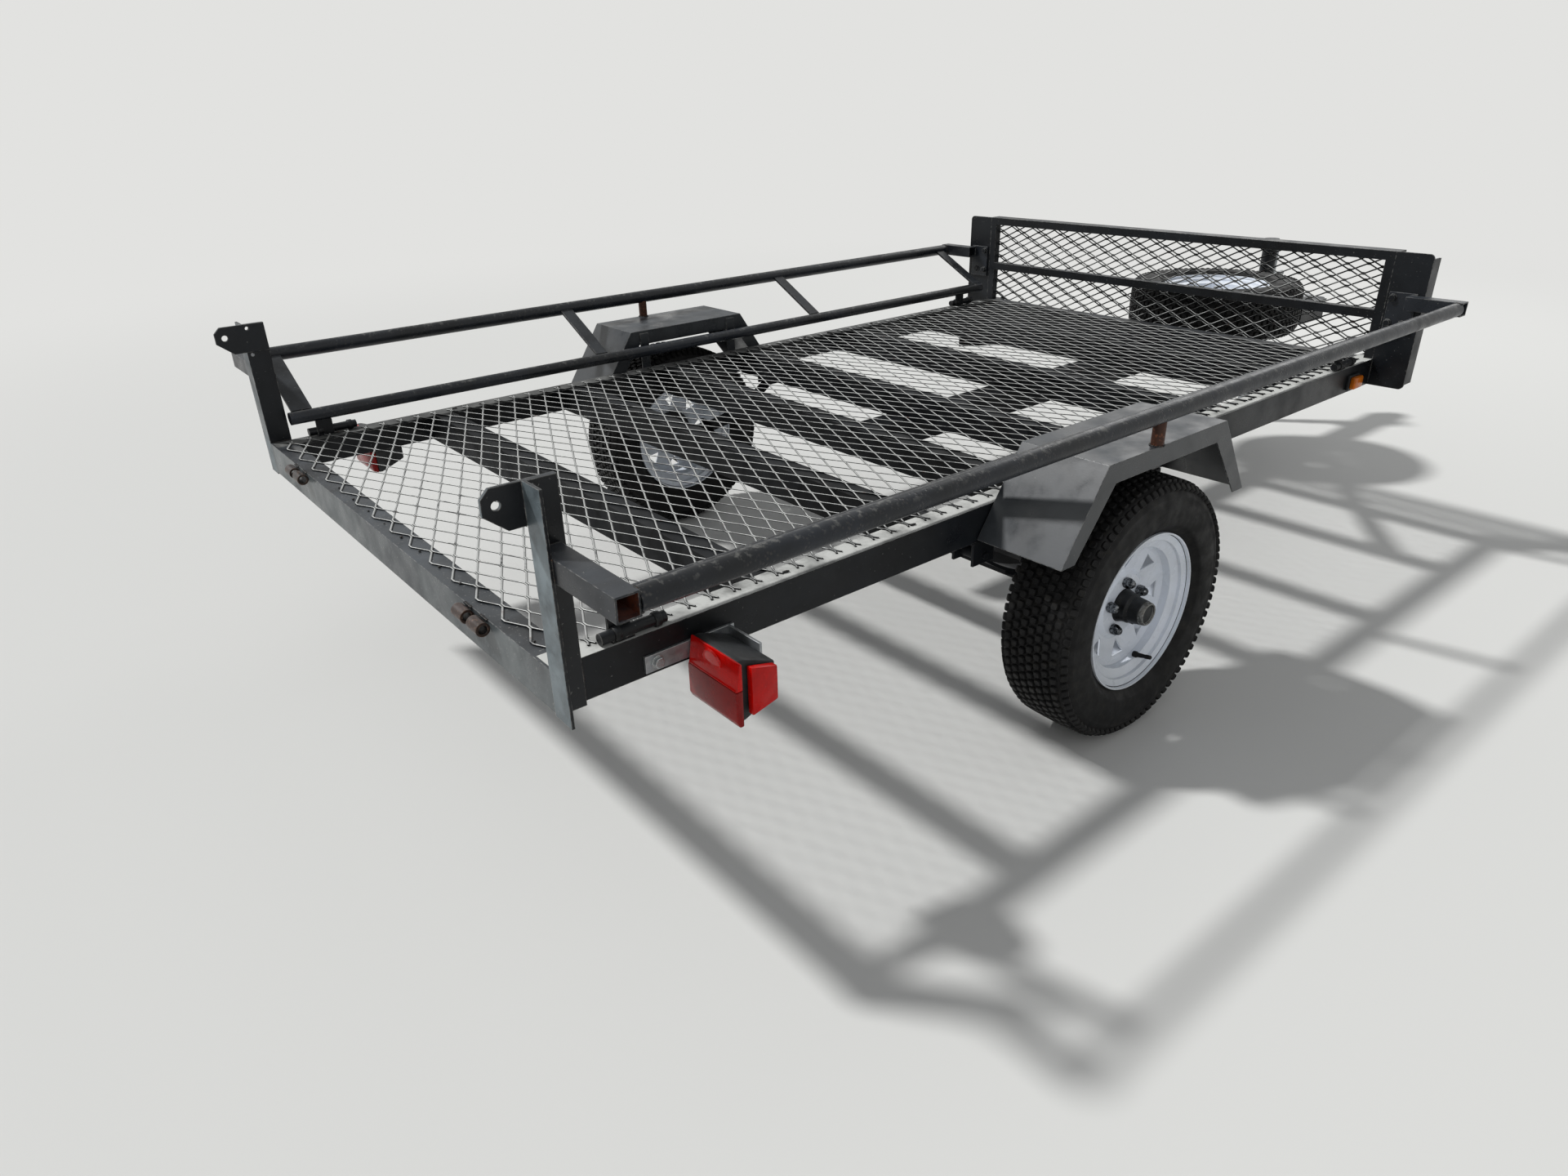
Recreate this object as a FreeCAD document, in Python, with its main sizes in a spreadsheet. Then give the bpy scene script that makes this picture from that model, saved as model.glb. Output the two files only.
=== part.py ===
"""A single-axle utility trailer with an open mesh floor, standing on its tongue jack.

Millimetres. X points forward to the coupler, Y to the left and Z up. The origin is on the
ground, in the middle of the trailer's length and width. Pieces are measured from the bed's rear
face, on the centreline and on the ground, and put() moves them all back by the same amount.
"""
import FreeCAD, Part
import math
import os

import Sketcher
from FreeCAD import Placement, Rotation, Vector

# Driving dimensions: the cell's word, its number and what it measures
SIZES = (
    ("bed_width", 1500, "over the outer faces of the side rails"),
    ("bed_length", 2750, "rear face to the headboard"),
    ("bed_height", 575, "ground to the top of the rails"),
    ("rail_depth", 76, "upright leg of the rail angle"),
    ("rail_flange", 51, "level leg of the rail angle"),
    ("rail_wall", 5, "thickness of the rail angle"),
    ("mesh_wall", 3.4, "thickness of the expanded metal"),
    ("mesh_edge", 24, "mesh edge to the rail's outer face"),
    ("mesh_rear_edge", 16, "mesh edge to the bed's rear face"),
    ("mesh_rib", 14, "bars between the openings of the mesh"),
    ("post_leg", 51, "leg of the rear post angle"),
    ("post_wall", 5, "thickness of the rear post angle"),
    ("rear_post_rise", 297, "rear post top over the bed"),
    ("post_foot_drop", 5, "rear post foot below the rail"),
    ("ear_reach", 62, "latch ear behind the bed"),
    ("ear_height", 66, "depth of the latch ear"),
    ("ear_wall", 6, "thickness of the latch ear"),
    ("ear_hole", 14, "diameter of the hole in the ear"),
    ("ear_hole_back", 41, "hole behind the bed"),
    ("ear_hole_drop", 26, "hole below the top of the post"),
    ("ear_bolt_hole", 9, "diameter of the small holes"),
    ("square_tube", 38, "side of the square tube"),
    ("square_wall", 3, "wall of the square tube"),
    ("outer_rail_diameter", 37, "outer round rail"),
    ("round_wall", 3, "wall of the round rails"),
    ("outer_rail_out", 203, "outer round rail beyond the side rail"),
    ("outer_rail_rise", 177.5, "outer round rail over the bed"),
    ("inner_rail_diameter", 32, "inner round rail"),
    ("inner_rail_in", 28, "inner round rail inside the rail's face"),
    ("inner_rail_rise", 59, "inner round rail over the bed"),
    ("inner_rail_start", 52, "its rear end from the bed's rear face"),
    ("inner_rail_end", 80, "its front end short of the headboard"),
    ("strut_wall", 8, "thickness of the strut bars"),
    ("outrigger_reach", 216, "outrigger's end beyond the side rail"),
    ("front_plate_width", 76, "bolt plate of the front outrigger"),
    ("front_plate_height", 112, "bolt plate of the front outrigger"),
    ("plate_wall", 6, "thickness of the bolt plates"),
    ("channel_width", 102, "web of the front post channel"),
    ("channel_depth", 51, "flange of the front post channel"),
    ("channel_wall", 6, "thickness of the front post channel"),
    ("channel_round", 14, "rounded top corner of the channel"),
    ("headboard_rise", 311, "headboard top over the bed"),
    ("headboard_mid_rise", 143, "top of its middle bar over the bed"),
    ("headboard_bar", 26, "height of the headboard's bars"),
    ("headboard_depth", 51, "headboard front to back"),
    ("headboard_wall", 3, "wall of the headboard's tubes"),
    ("fender_out", 212, "fender's outer edge beyond the rail"),
    ("fender_gap", 4, "fender's inner edge beyond the rail"),
    ("fender_rise", 114, "fender top over the bed"),
    ("fender_drop", 68, "fender foot below the bed"),
    ("fender_half_top", 211, "half of its level top"),
    ("fender_half_foot", 333, "half of its length at the foot"),
    ("fender_lip", 42, "turned-down edges"),
    ("fender_wall", 3, "thickness of the fender sheet"),
    ("stub_behind", 40, "stub under the outer rail, behind the axle"),
    ("stub_radius", 13, "fender's stub"),
    ("axle_place", 1288, "axle from the bed's rear face"),
    ("tyre_radius", 300, "tyre over its tread"),
    ("tyre_width", 178, "tyre over its sidewalls"),
    ("tyre_gap", 0.3, "tyre over the rim's flanges"),
    ("tread_width", 146, "tyre across its tread"),
    ("tread_depth", 18, "tread with the belt under it"),
    ("wheel_out", 130, "wheel's middle beyond the side rail"),
    ("rim_radius", 182, "over the rim's edges"),
    ("rim_width", 150, "over the rim's edges"),
    ("bead_radius", 166, "the rim's bead seats"),
    ("well_radius", 146, "the rim's drop centre"),
    ("rim_wall", 4, "thickness of the rim and disc"),
    ("disc_inset", 53, "wheel disc inside the rim's edge"),
    ("disc_dish", 7, "ring between hub and vents behind the disc's middle"),
    ("vent_outer", 124, "outer edge of the disc's vents"),
    ("vent_inner", 88, "inner tip of the disc's vents"),
    ("vent_half", 22, "half of a vent's outer edge"),
    ("stud_circle", 114.3, "diameter of the stud circle"),
    ("stud_diameter", 12.7, "wheel studs"),
    ("centre_bore", 78, "hole in the wheel disc"),
    ("hub_diameter", 68, "hub barrel"),
    ("hub_flange_diameter", 138, "hub flange"),
    ("hub_flange_wall", 10, "hub flange"),
    ("hub_reach", 60, "hub and cap beyond the disc"),
    ("hub_back", 58, "hub barrel inside the disc"),
    ("spindle_diameter", 35, "axle spindle"),
    ("spindle_gap", 0.05, "hub bore over the spindle, on the radius"),
    ("spindle_reach", 30, "spindle beyond the wheel disc"),
    ("hub_end_gap", 5, "hub's back end to the axle tube"),
    ("axle_side", 51, "square axle tube"),
    ("axle_wall", 5, "wall of the axle tube"),
    ("spring_half", 308, "half of the spring, eye to eye"),
    ("spring_width", 44, "width of the leaves"),
    ("leaf_wall", 7, "thickness of a leaf"),
    ("spring_pad", 8, "seat between axle and spring"),
    ("eye_drop", 110, "spring eyes below the bed"),
    ("eye_radius", 15, "outside of the spring eyes"),
    ("eye_bolt", 14, "diameter of the eye bolts"),
    ("hanger_wall", 6, "plates of the spring hangers"),
    ("hanger_gap", 1, "hanger plate beside the spring"),
    ("hanger_length", 64, "hanger along the rail"),
    ("u_bolt", 10, "diameter of the U-bolts"),
    ("tongue_side", 76, "square tongue tube"),
    ("tongue_wall", 5, "wall of the tongue tube"),
    ("tongue_start", 1330, "tongue's rear end from the bed's rear face"),
    ("tongue_reach", 187, "tongue's front end beyond the jack"),
    ("brace_side", 51, "angle braces of the tongue"),
    ("brace_wall", 5, "thickness of the braces"),
    ("brace_spread", 620, "braces apart at the bed, from the centreline"),
    ("brace_reach", 520, "braces' front ends beyond the headboard"),
    ("brace_overlap", 300, "braces' rear ends behind the headboard"),
    ("front_member_back", 25, "front crossmember's upright leg behind the headboard"),
    ("coupler_sleeve", 120, "coupler sleeve along the tongue"),
    ("coupler_wall", 5, "coupler sheet"),
    ("coupler_nose", 88, "ball centre beyond the tongue"),
    ("ball_radius", 25.4, "hitch ball that the socket takes"),
    ("ball_gap", 0.6, "socket over the ball"),
    ("spare_ahead", 410, "spare wheel's middle beyond the headboard"),
    ("spare_lift", 6, "thickness of the spare wheel's carrier plate"),
    ("spare_plate", 500, "length of the carrier plate across the tongue"),
    ("spare_gap", 0.3, "spare tyre over the carrier plate"),
    ("jack_ahead", 283, "jack beyond the spare tyre"),
    ("jack_gap", 38, "jack tube beside the tongue"),
    ("jack_diameter", 57, "jack's outer tube"),
    ("jack_wall", 4, "wall of the jack's outer tube"),
    ("jack_top", 750, "top of the jack over the ground"),
    ("jack_foot_rise", 300, "lower end of the outer tube"),
    ("gear_side", 36, "jack's gear box across and upright"),
    ("gear_reach", 8, "gear box beyond the tube's front"),
    ("crank_reach", 30, "crank's shaft beyond the gear box"),
    ("crank_drop", 120, "crank from its shaft down to its grip"),
    ("crank_grip", 70, "length of the crank's grip"),
    ("leg_diameter", 47, "jack's inner leg"),
    ("leg_overlap", 160, "leg inside the outer tube as it stands"),
    ("foot_width", 110, "jack's foot plate"),
    ("foot_wall", 6, "jack's foot plate"),
    ("lamp_width", 136, "tail lamp across"),
    ("lamp_height", 114, "tail lamp"),
    ("lamp_depth", 88, "tail lamp front to back"),
    ("lamp_back", 236, "lamp's rear face from the bed's rear face"),
    ("lamp_out", 8, "lamp beyond the rail's bracket"),
    ("lamp_drop", 27, "lamp's top below the bed"),
    ("lens_wall", 14, "how far the lamp's lenses stand out"),
    ("lens_gap", 16, "dark gap between the rear lens and the side lens"),
    ("lamp_bar", 30, "lamp bracket's flat bar"),
    ("lamp_bar_wall", 5, "thickness of the bracket"),
    ("marker_length", 62, "side marker"),
    ("marker_height", 44, "side marker"),
    ("marker_depth", 24, "side marker"),
    ("marker_place", 150, "side marker's rear end behind the headboard"),
    ("barrel_diameter", 25, "hinge barrels of the missing gate"),
    ("barrel_bore", 16, "bore of the barrels"),
    ("barrel_length", 38, "hinge barrels"),
    ("barrel_first", 228, "outer barrel inside the rail's face"),
    ("barrel_second", 290, "inner barrel inside the rail's face"),
)

# Floor crossmembers under the mesh: from the axle to each one's rear face, as a share of the way
# back to the bed's rear face, or with a plus sign of the way ahead to the headboard
CROSSMEMBERS = (-0.682, -0.363, -0.107, 0.131, 0.439, 0.761)

# Struts between the round rails: what they are measured from, the rear edge at the top, at the
# foot, and the width
STRUTS = (("rear", 76, 50, 50), ("axle", -333, -360, 38), ("axle", 528, 483, 38), ("headboard", -88, -124, 38))

# How much further forward the right inner rail and its first strut start than the left ones
RIGHT_SHIFT = 66

# Seats of the inner round rails: what they are measured from, and the rear edge
RAIL_SEATS = (("rear", 112), ("headboard", -210))

# Openings of the mesh sheets: how many along each way
FLOOR_OPENINGS = (("x", 12), ("y", 12))
HEADBOARD_OPENINGS = (("y", 12), ("z", 3))

# The first wheel stud, turned up from the line that points forward
FIRST_STUD = math.radians(21)

SIDES = (("left", 1), ("right", -1))


class Size:
    """A number together with the words that bind it to the sheet."""

    def __init__(self, number, words=None):
        self.number = float(number)
        self.words = words if words else "(%r)" % self.number

    def __add__(self, other):
        other = sized(other)
        return Size(self.number + other.number, "(%s + %s)" % (self.words, other.words))

    def __sub__(self, other):
        other = sized(other)
        return Size(self.number - other.number, "(%s - %s)" % (self.words, other.words))

    def __mul__(self, other):
        other = sized(other)
        return Size(self.number * other.number, "(%s * %s)" % (self.words, other.words))

    def __truediv__(self, other):
        other = sized(other)
        return Size(self.number / other.number, "(%s / %s)" % (self.words, other.words))

    def __radd__(self, other):
        return sized(other) + self

    def __rsub__(self, other):
        return sized(other) - self

    def __rmul__(self, other):
        return sized(other) * self

    def __rtruediv__(self, other):
        return sized(other) / self

    def __neg__(self):
        return self * -1


def sized(thing):
    return thing if isinstance(thing, Size) else Size(thing)


def root(thing):
    return Size(math.sqrt(thing.number), "sqrt(%s)" % thing.words)


doc = FreeCAD.newDocument("utility_trailer")
sheet = doc.addObject("Spreadsheet::Sheet", "Sizes")
size = {}
for row, (word, number, meaning) in enumerate(SIZES, start=1):
    sheet.set("A%d" % row, meaning)
    sheet.set("B%d" % row, "%r" % number)
    sheet.setAlias("B%d" % row, word)
    size[word] = Size(number, "Sizes.%s" % word)
doc.recompute()

nodes = []

# The trailer's middle, from the bed's rear face: between the ears' tips and the coupler's nose
COUPLER_RADIUS = size["ball_radius"] + size["ball_gap"] + size["coupler_wall"]
SPARE_X = size["bed_length"] + size["spare_ahead"]
JACK_X = SPARE_X + size["tyre_radius"] + size["jack_ahead"]
TONGUE_END = JACK_X + size["tongue_reach"]
NOSE = TONGUE_END + size["coupler_nose"] + COUPLER_RADIUS
MIDDLE = (NOSE - size["ear_reach"]) / 2


# Helpers for solids

def bind(thing, **properties):
    for name, value in properties.items():
        thing.setExpression(name.replace("__", "."), sized(value).words)


def put(thing, x=0, y=0, z=0):
    """Place a piece that is measured from the bed's rear face, keeping its rotation."""
    for axis, value in (("x", x - MIDDLE), ("y", sized(y)), ("z", sized(z))):
        thing.setExpression("Placement.Base." + axis, value.words)


def box(name, x, y, z):
    """A block between two places along each axis."""
    block = doc.addObject("Part::Box", name)
    low = [sized(pair[0]) for pair in (x, y, z)]
    high = [sized(pair[1]) for pair in (x, y, z)]
    bind(block, Length=high[0] - low[0], Width=high[1] - low[1], Height=high[2] - low[2])
    put(block, *low)
    return block


TURNS = {"x": Rotation(Vector(0, 1, 0), 90), "y": Rotation(Vector(1, 0, 0), -90), "z": Rotation()}


def rod(name, axis, start, length, radius):
    """A round bar that runs from its start along an axis."""
    bar = doc.addObject("Part::Cylinder", name)
    bar.Placement = Placement(Vector(), TURNS[axis])
    bind(bar, Radius=radius, Height=length)
    put(bar, *start)
    return bar


def ball(name, centre, radius):
    sphere = doc.addObject("Part::Sphere", name)
    bind(sphere, Radius=radius)
    put(sphere, *centre)
    return sphere


def joined(name, pieces):
    if len(pieces) == 1:
        return pieces[0]
    union = doc.addObject("Part::MultiFuse", name)
    union.Shapes = pieces
    union.Refine = True
    return union


def less(name, base, tools):
    rest = doc.addObject("Part::Cut", name)
    rest.Base = base
    rest.Tool = joined(name + "_tools", tools)
    return rest


def group(name, pieces):
    """Solids that don't touch, kept as one piece."""
    several = doc.addObject("Part::Compound", name)
    several.Links = pieces
    return several


def tube(name, axis, start, length, radius, wall):
    outside = rod(name + "_outside", axis, start, length, radius)
    inside = rod(name + "_inside", axis, start, length, radius - wall)
    return less(name, outside, [inside])


def square_tube(name, x, y, z, wall, along):
    """A hollow bar of rectangular section, open at both ends."""
    spans = {"x": x, "y": y, "z": z}
    inner = {axis: span if axis == along else (span[0] + wall, span[1] - wall)
             for axis, span in spans.items()}
    outside = box(name + "_outside", x, y, z)
    inside = box(name + "_inside", inner["x"], inner["y"], inner["z"])
    return less(name, outside, [inside])


def grid(name, x, y, z, openings, rib):
    """A flat sheet with a plain grid of openings between bars of one width."""
    spans = {"x": x, "y": y, "z": z}
    bars = []
    for axis, count in openings:
        low, high = (sized(end) for end in spans[axis])
        for number in range(count + 1):
            start = low + (high - low - rib) * (number / count)
            bar = dict(spans, **{axis: (start, start + rib)})
            bars.append(box("%s_%s_%d" % (name, axis, number), bar["x"], bar["y"], bar["z"]))
    return joined(name, bars)


def mirrored_span(side, near, far):
    """A span across the trailer, on one side, from the near value to the far one."""
    return (near, far) if side > 0 else (-far, -near)


# Helpers for sketched pieces

def origin_feature(body, role):
    for feature in body.Origin.OriginFeatures:
        if feature.Role == role:
            return feature
    raise ValueError(role)


def arc_centre(start, end, radius):
    """The centre of the arc between two points; a minus sign puts it on the right."""
    middle = (start + end) * 0.5
    chord = end - start
    height = math.sqrt(max(radius * radius - chord.Length ** 2 / 4, 0))
    left = Vector(-chord.y, chord.x, 0).normalize()
    return middle + left * (height if radius > 0 else -height)


def sketch_on(body, plane, outlines, circles=()):
    """A sketch of closed outlines; a point's third value is the radius of the arc to it."""
    sketch = body.newObject("Sketcher::SketchObject", body.Name + "_sketch")
    sketch.AttachmentSupport = [(origin_feature(body, plane + "_Plane"), "")]
    sketch.MapMode = "FlatFace"
    for outline in outlines:
        add_outline(sketch, outline)
    for centre_u, centre_v, radius in circles:
        centre = Vector(sized(centre_u).number, sized(centre_v).number, 0)
        index = sketch.addGeometry(Part.Circle(centre, Vector(0, 0, 1), sized(radius).number), False)
        fix(sketch, "Radius", (index,), sized(radius))
        fix(sketch, "DistanceX", (index, 3), sized(centre_u))
        fix(sketch, "DistanceY", (index, 3), sized(centre_v))
    return sketch


def fix(sketch, kind, place, value):
    """Add a constraint and bind its value to the sheet."""
    index = sketch.addConstraint(Sketcher.Constraint(kind, *place, value.number))
    sketch.renameConstraint(index, "c%d" % index)
    if "Sizes" in value.words:
        sketch.setExpression("Constraints.c%d" % index, value.words)


def add_outline(sketch, outline):
    points = [Vector(sized(point[0]).number, sized(point[1]).number, 0) for point in outline]
    count = len(outline)
    ends = []
    for number in range(count):
        here, there = points[number], points[(number + 1) % count]
        target = outline[(number + 1) % count]
        if len(target) > 2:
            radius = sized(target[2])
            centre = arc_centre(here, there, radius.number)
            circle = Part.Circle(centre, Vector(0, 0, 1), abs(radius.number))
            first, last = (here, there) if radius.number > 0 else (there, here)
            angle_from = math.atan2(first.y - centre.y, first.x - centre.x)
            angle_to = math.atan2(last.y - centre.y, last.x - centre.x)
            if angle_to < angle_from:
                angle_to += 2 * math.pi
            index = sketch.addGeometry(Part.ArcOfCircle(circle, angle_from, angle_to), False)
            ends.append(((index, 1), (index, 2)) if radius.number > 0 else ((index, 2), (index, 1)))
            size_of_arc = radius if radius.number > 0 else -radius
            fix(sketch, "Radius", (index,), size_of_arc)
        else:
            index = sketch.addGeometry(Part.LineSegment(here, there), False)
            ends.append(((index, 1), (index, 2)))
    for number in range(count):
        end_before = ends[number - 1][1]
        start_here = ends[number][0]
        sketch.addConstraint(Sketcher.Constraint("Coincident", *end_before, *start_here))
        fix(sketch, "DistanceX", start_here, sized(outline[number][0]))
        fix(sketch, "DistanceY", start_here, sized(outline[number][1]))


def prism(name, plane, outlines, length, start=(0, 0, 0), circles=(), back=False):
    """Outlines on a plane, padded along the plane's normal, or back against it."""
    body = doc.addObject("PartDesign::Body", name)
    sketch = sketch_on(body, plane, outlines, circles)
    pad = body.newObject("PartDesign::Pad", name + "_pad")
    pad.Profile = sketch
    bind(pad, Length=length)
    pad.Reversed = back
    sketch.Visibility = False
    put(body, *start)
    return body


def turned(name, outlines, start):
    """Outlines on the YZ plane, turned about the wheel's own Y axis."""
    body = doc.addObject("PartDesign::Body", name)
    sketch = sketch_on(body, "YZ", outlines)
    spin = body.newObject("PartDesign::Revolution", name + "_spin")
    spin.Profile = sketch
    spin.ReferenceAxis = (sketch, ["H_Axis"])
    spin.Angle = 360
    put(body, *start)
    return body


def node(name, thing):
    """Name a finished piece."""
    thing.Label = name
    nodes.append(thing)
    return thing


# Places that several pieces share

HALF = size["bed_width"] / 2
TOP = size["bed_height"]
RAIL_FOOT = TOP - size["rail_depth"]
UNDER_FLANGE = TOP - size["rail_wall"]
BED_END = size["bed_length"]
OUTER_Y = HALF + size["outer_rail_out"]
OUTER_Z = TOP + size["outer_rail_rise"]
INNER_Y = HALF - size["inner_rail_in"]
INNER_Z = TOP + size["inner_rail_rise"]
OUTER_RADIUS = size["outer_rail_diameter"] / 2
INNER_RADIUS = size["inner_rail_diameter"] / 2
TUBE = size["square_tube"]
REAR_TUBE_X = size["post_wall"]
FRONT_TUBE_X = BED_END - size["plate_wall"] - TUBE
WHEEL_Y = HALF + size["wheel_out"]
AXLE_X = size["axle_place"]
AXLE_Z = size["tyre_radius"]
FROM = {"rear": sized(0), "axle": AXLE_X, "headboard": BED_END}
TONGUE_TOP = RAIL_FOOT
TONGUE_FOOT = RAIL_FOOT - size["tongue_side"]
HALF_TONGUE = size["tongue_side"] / 2
DISC = size["rim_width"] / 2 - size["disc_inset"]


def angle_outline(side, outer, leg_in, leg_down, wall, top):
    """Section of an angle with its level leg on top and its upright leg outboard."""
    face, back = outer, outer - leg_in
    points = [(face, top), (back, top), (back, top - wall), (face - wall, top - wall),
              (face - wall, top - leg_down), (face, top - leg_down)]
    return [(across * side, up) for across, up in points]


# Side rails, from behind the rear crossmember's upright leg to the front posts' flange end

def side_rails():
    for word, side in SIDES:
        section = angle_outline(side, HALF, size["rail_flange"], size["rail_depth"], size["rail_wall"], TOP)
        start = size["rail_wall"]
        length = BED_END + size["channel_depth"] - start
        rail = prism("rail_" + word, "YZ", [section], length, start=(start, 0, 0))
        node("side_rail_" + word, rail)


# Crossmembers: each an angle whose level leg lies between the rails' level legs

def crossmember(name, x, web_half, web_top):
    """An angle across the bed, its level leg ahead of the upright one."""
    shelf_half = HALF - size["rail_flange"]
    web = box(name + "_web", (x, x + size["rail_wall"]), (-web_half, web_half), (RAIL_FOOT, web_top))
    shelf = box(name + "_shelf", (x, x + size["rail_flange"]), (-shelf_half, shelf_half), (UNDER_FLANGE, TOP))
    return joined(name, [web, shelf])


def crossmembers():
    inside = HALF - size["rail_wall"]
    node("rear_crossmember", crossmember("rear_member", sized(0), HALF, TOP))
    front = BED_END - size["front_member_back"]
    node("front_crossmember", crossmember("front_member", front, inside, UNDER_FLANGE))
    middle = []
    for number, share in enumerate(CROSSMEMBERS, start=1):
        place = AXLE_X + (AXLE_X if share < 0 else BED_END - AXLE_X) * share
        middle.append(crossmember("member_%d" % number, place, inside, UNDER_FLANGE))
    node("floor_crossmembers", group("floor_members", middle))


# Mesh floor

def floor_mesh():
    edge = HALF - size["mesh_edge"]
    span = (size["mesh_rear_edge"], BED_END - size["mesh_rear_edge"])
    sheet_of_mesh = grid("floor_sheet", span, (-edge, edge), (TOP, TOP + size["mesh_wall"]), FLOOR_OPENINGS,
                         size["mesh_rib"])
    node("floor_mesh", sheet_of_mesh)


# Rear posts with the latch ears of the missing gate

def rear_posts():
    wall, leg = size["post_wall"], size["post_leg"]
    low = RAIL_FOOT - size["post_foot_drop"]
    high = TOP + size["rear_post_rise"]
    for word, side in SIDES:
        section = [(0, HALF), (leg, HALF), (leg, HALF + wall), (wall, HALF + wall), (wall, HALF + leg),
                   (0, HALF + leg)]
        outline = [(x, y * side) for x, y in section]
        post = prism("post_" + word, "XY", [outline], high - low, start=(0, 0, low))
        ear_low = high - size["ear_height"]
        corner = 14
        ear = [(-size["ear_reach"] + corner, high), (-size["ear_reach"], high - corner),
               (-size["ear_reach"], ear_low + 2 * corner), (-2 * corner, ear_low), (leg, ear_low), (leg, high)]
        holes = [(-size["ear_hole_back"], high - size["ear_hole_drop"], size["ear_hole"] / 2),
                 (12, high - 10, size["ear_bolt_hole"] / 2)]
        plate_y = HALF if side > 0 else -HALF + size["ear_wall"]
        ear_plate = prism("ear_" + word, "XZ", [ear], size["ear_wall"], start=(0, plate_y, 0), circles=holes)
        bolt_holes = [rod("post_hole_%s_%d" % (word, number), "y", (12, side * HALF - 15, place), 30,
                          size["ear_bolt_hole"] / 2)
                      for number, place in enumerate((high - 10, ear_low - 8), start=1)]
        both = joined("post_and_ear_" + word, [post, ear_plate])
        node("rear_post_" + word, less("drilled_post_" + word, both, bolt_holes))


# Hinge barrels on the rear crossmember's upper edge

def gate_hinge_barrels():
    radius = size["barrel_diameter"] / 2
    length = size["barrel_length"]
    for word, side in SIDES:
        barrels = []
        for number, inside in enumerate((size["barrel_first"], size["barrel_second"]), start=1):
            start = side * (HALF - inside) - length / 2
            name = "barrel_%s_%d" % (word, number)
            barrels.append(tube(name, "y", (-radius, start, TOP - radius), length, radius,
                                radius - size["barrel_bore"] / 2))
        node("gate_barrels_" + word, group("barrels_" + word, barrels))


# Round rails, outriggers and struts

def round_rails():
    for word, side in SIDES:
        start = REAR_TUBE_X + TUBE
        outer = tube("outer_" + word, "x", (start, side * OUTER_Y, OUTER_Z), FRONT_TUBE_X - start,
                     OUTER_RADIUS, size["round_wall"])
        node("outer_rail_" + word, outer)
        first = size["inner_rail_start"] + (0 if side > 0 else RIGHT_SHIFT)
        length = BED_END - size["inner_rail_end"] - first
        inner = tube("inner_" + word, "x", (first, side * INNER_Y, INNER_Z), length, INNER_RADIUS,
                     size["round_wall"])
        node("inner_rail_" + word, inner)


def outriggers():
    low, high = OUTER_Z - TUBE / 2, OUTER_Z + TUBE / 2
    reach = HALF + size["outrigger_reach"]
    for word, side in SIDES:
        rear = square_tube("rear_arm_" + word, (REAR_TUBE_X, REAR_TUBE_X + TUBE),
                           mirrored_span(side, HALF + size["post_wall"], reach), (low, high),
                           size["square_wall"], "y")
        plate_in = HALF + 8
        plate = box("arm_plate_" + word, (BED_END - size["plate_wall"], BED_END),
                    mirrored_span(side, plate_in, plate_in + size["front_plate_width"]),
                    (high + 4 - size["front_plate_height"], high + 4))
        front = square_tube("front_arm_" + word, (FRONT_TUBE_X, FRONT_TUBE_X + TUBE),
                            mirrored_span(side, plate_in + size["front_plate_width"] - 16, reach), (low, high),
                            size["square_wall"], "y")
        node("outriggers_" + word, group("arms_" + word, [rear, joined("front_arm_set_" + word, [front, plate])]))


def rail_cutter(name, y, z, radius):
    """The whole length of a round rail, to cope what is welded to it."""
    return rod(name, "x", (0, y, z), BED_END, radius)


def rail_struts():
    """Slanting flat bars from the inner round rail up to the outer one, and the fender's stub."""
    wall = size["strut_wall"]
    fender_top = TOP + size["fender_rise"]
    for word, side in SIDES:
        bars = []
        for number, (start, top_x, foot_x, width) in enumerate(STRUTS, start=1):
            low_y, low_z = INNER_Y + INNER_RADIUS * 0.9, INNER_Z + INNER_RADIUS * 0.45
            high_y, high_z = OUTER_Y - OUTER_RADIUS * 0.9, OUTER_Z - OUTER_RADIUS * 0.45
            outline = [(low_y * side, low_z), (high_y * side, high_z), (high_y * side, high_z + wall),
                       (low_y * side, low_z + wall)]
            middle = FROM[start] + (top_x + foot_x) / 2 + (RIGHT_SHIFT if side < 0 and number == 1 else 0)
            bars.append(prism("strut_%s_%d" % (word, number), "YZ", [outline], width, start=(middle, 0, 0)))
        stub = rod("stub_" + word, "z", (AXLE_X - size["stub_behind"], side * OUTER_Y, fender_top),
                   OUTER_Z - fender_top, size["stub_radius"])
        rails = [rail_cutter("strut_cope_outer_" + word, side * OUTER_Y, OUTER_Z, OUTER_RADIUS),
                 rail_cutter("strut_cope_inner_" + word, side * INNER_Y, INNER_Z, INNER_RADIUS)]
        node("rail_struts_" + word, less("struts_" + word, group("strut_bars_" + word, bars), rails))
        cope = rail_cutter("stub_cope_" + word, side * OUTER_Y, OUTER_Z, OUTER_RADIUS)
        node("fender_stub_" + word, less("stub_post_" + word, stub, [cope]))


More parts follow.
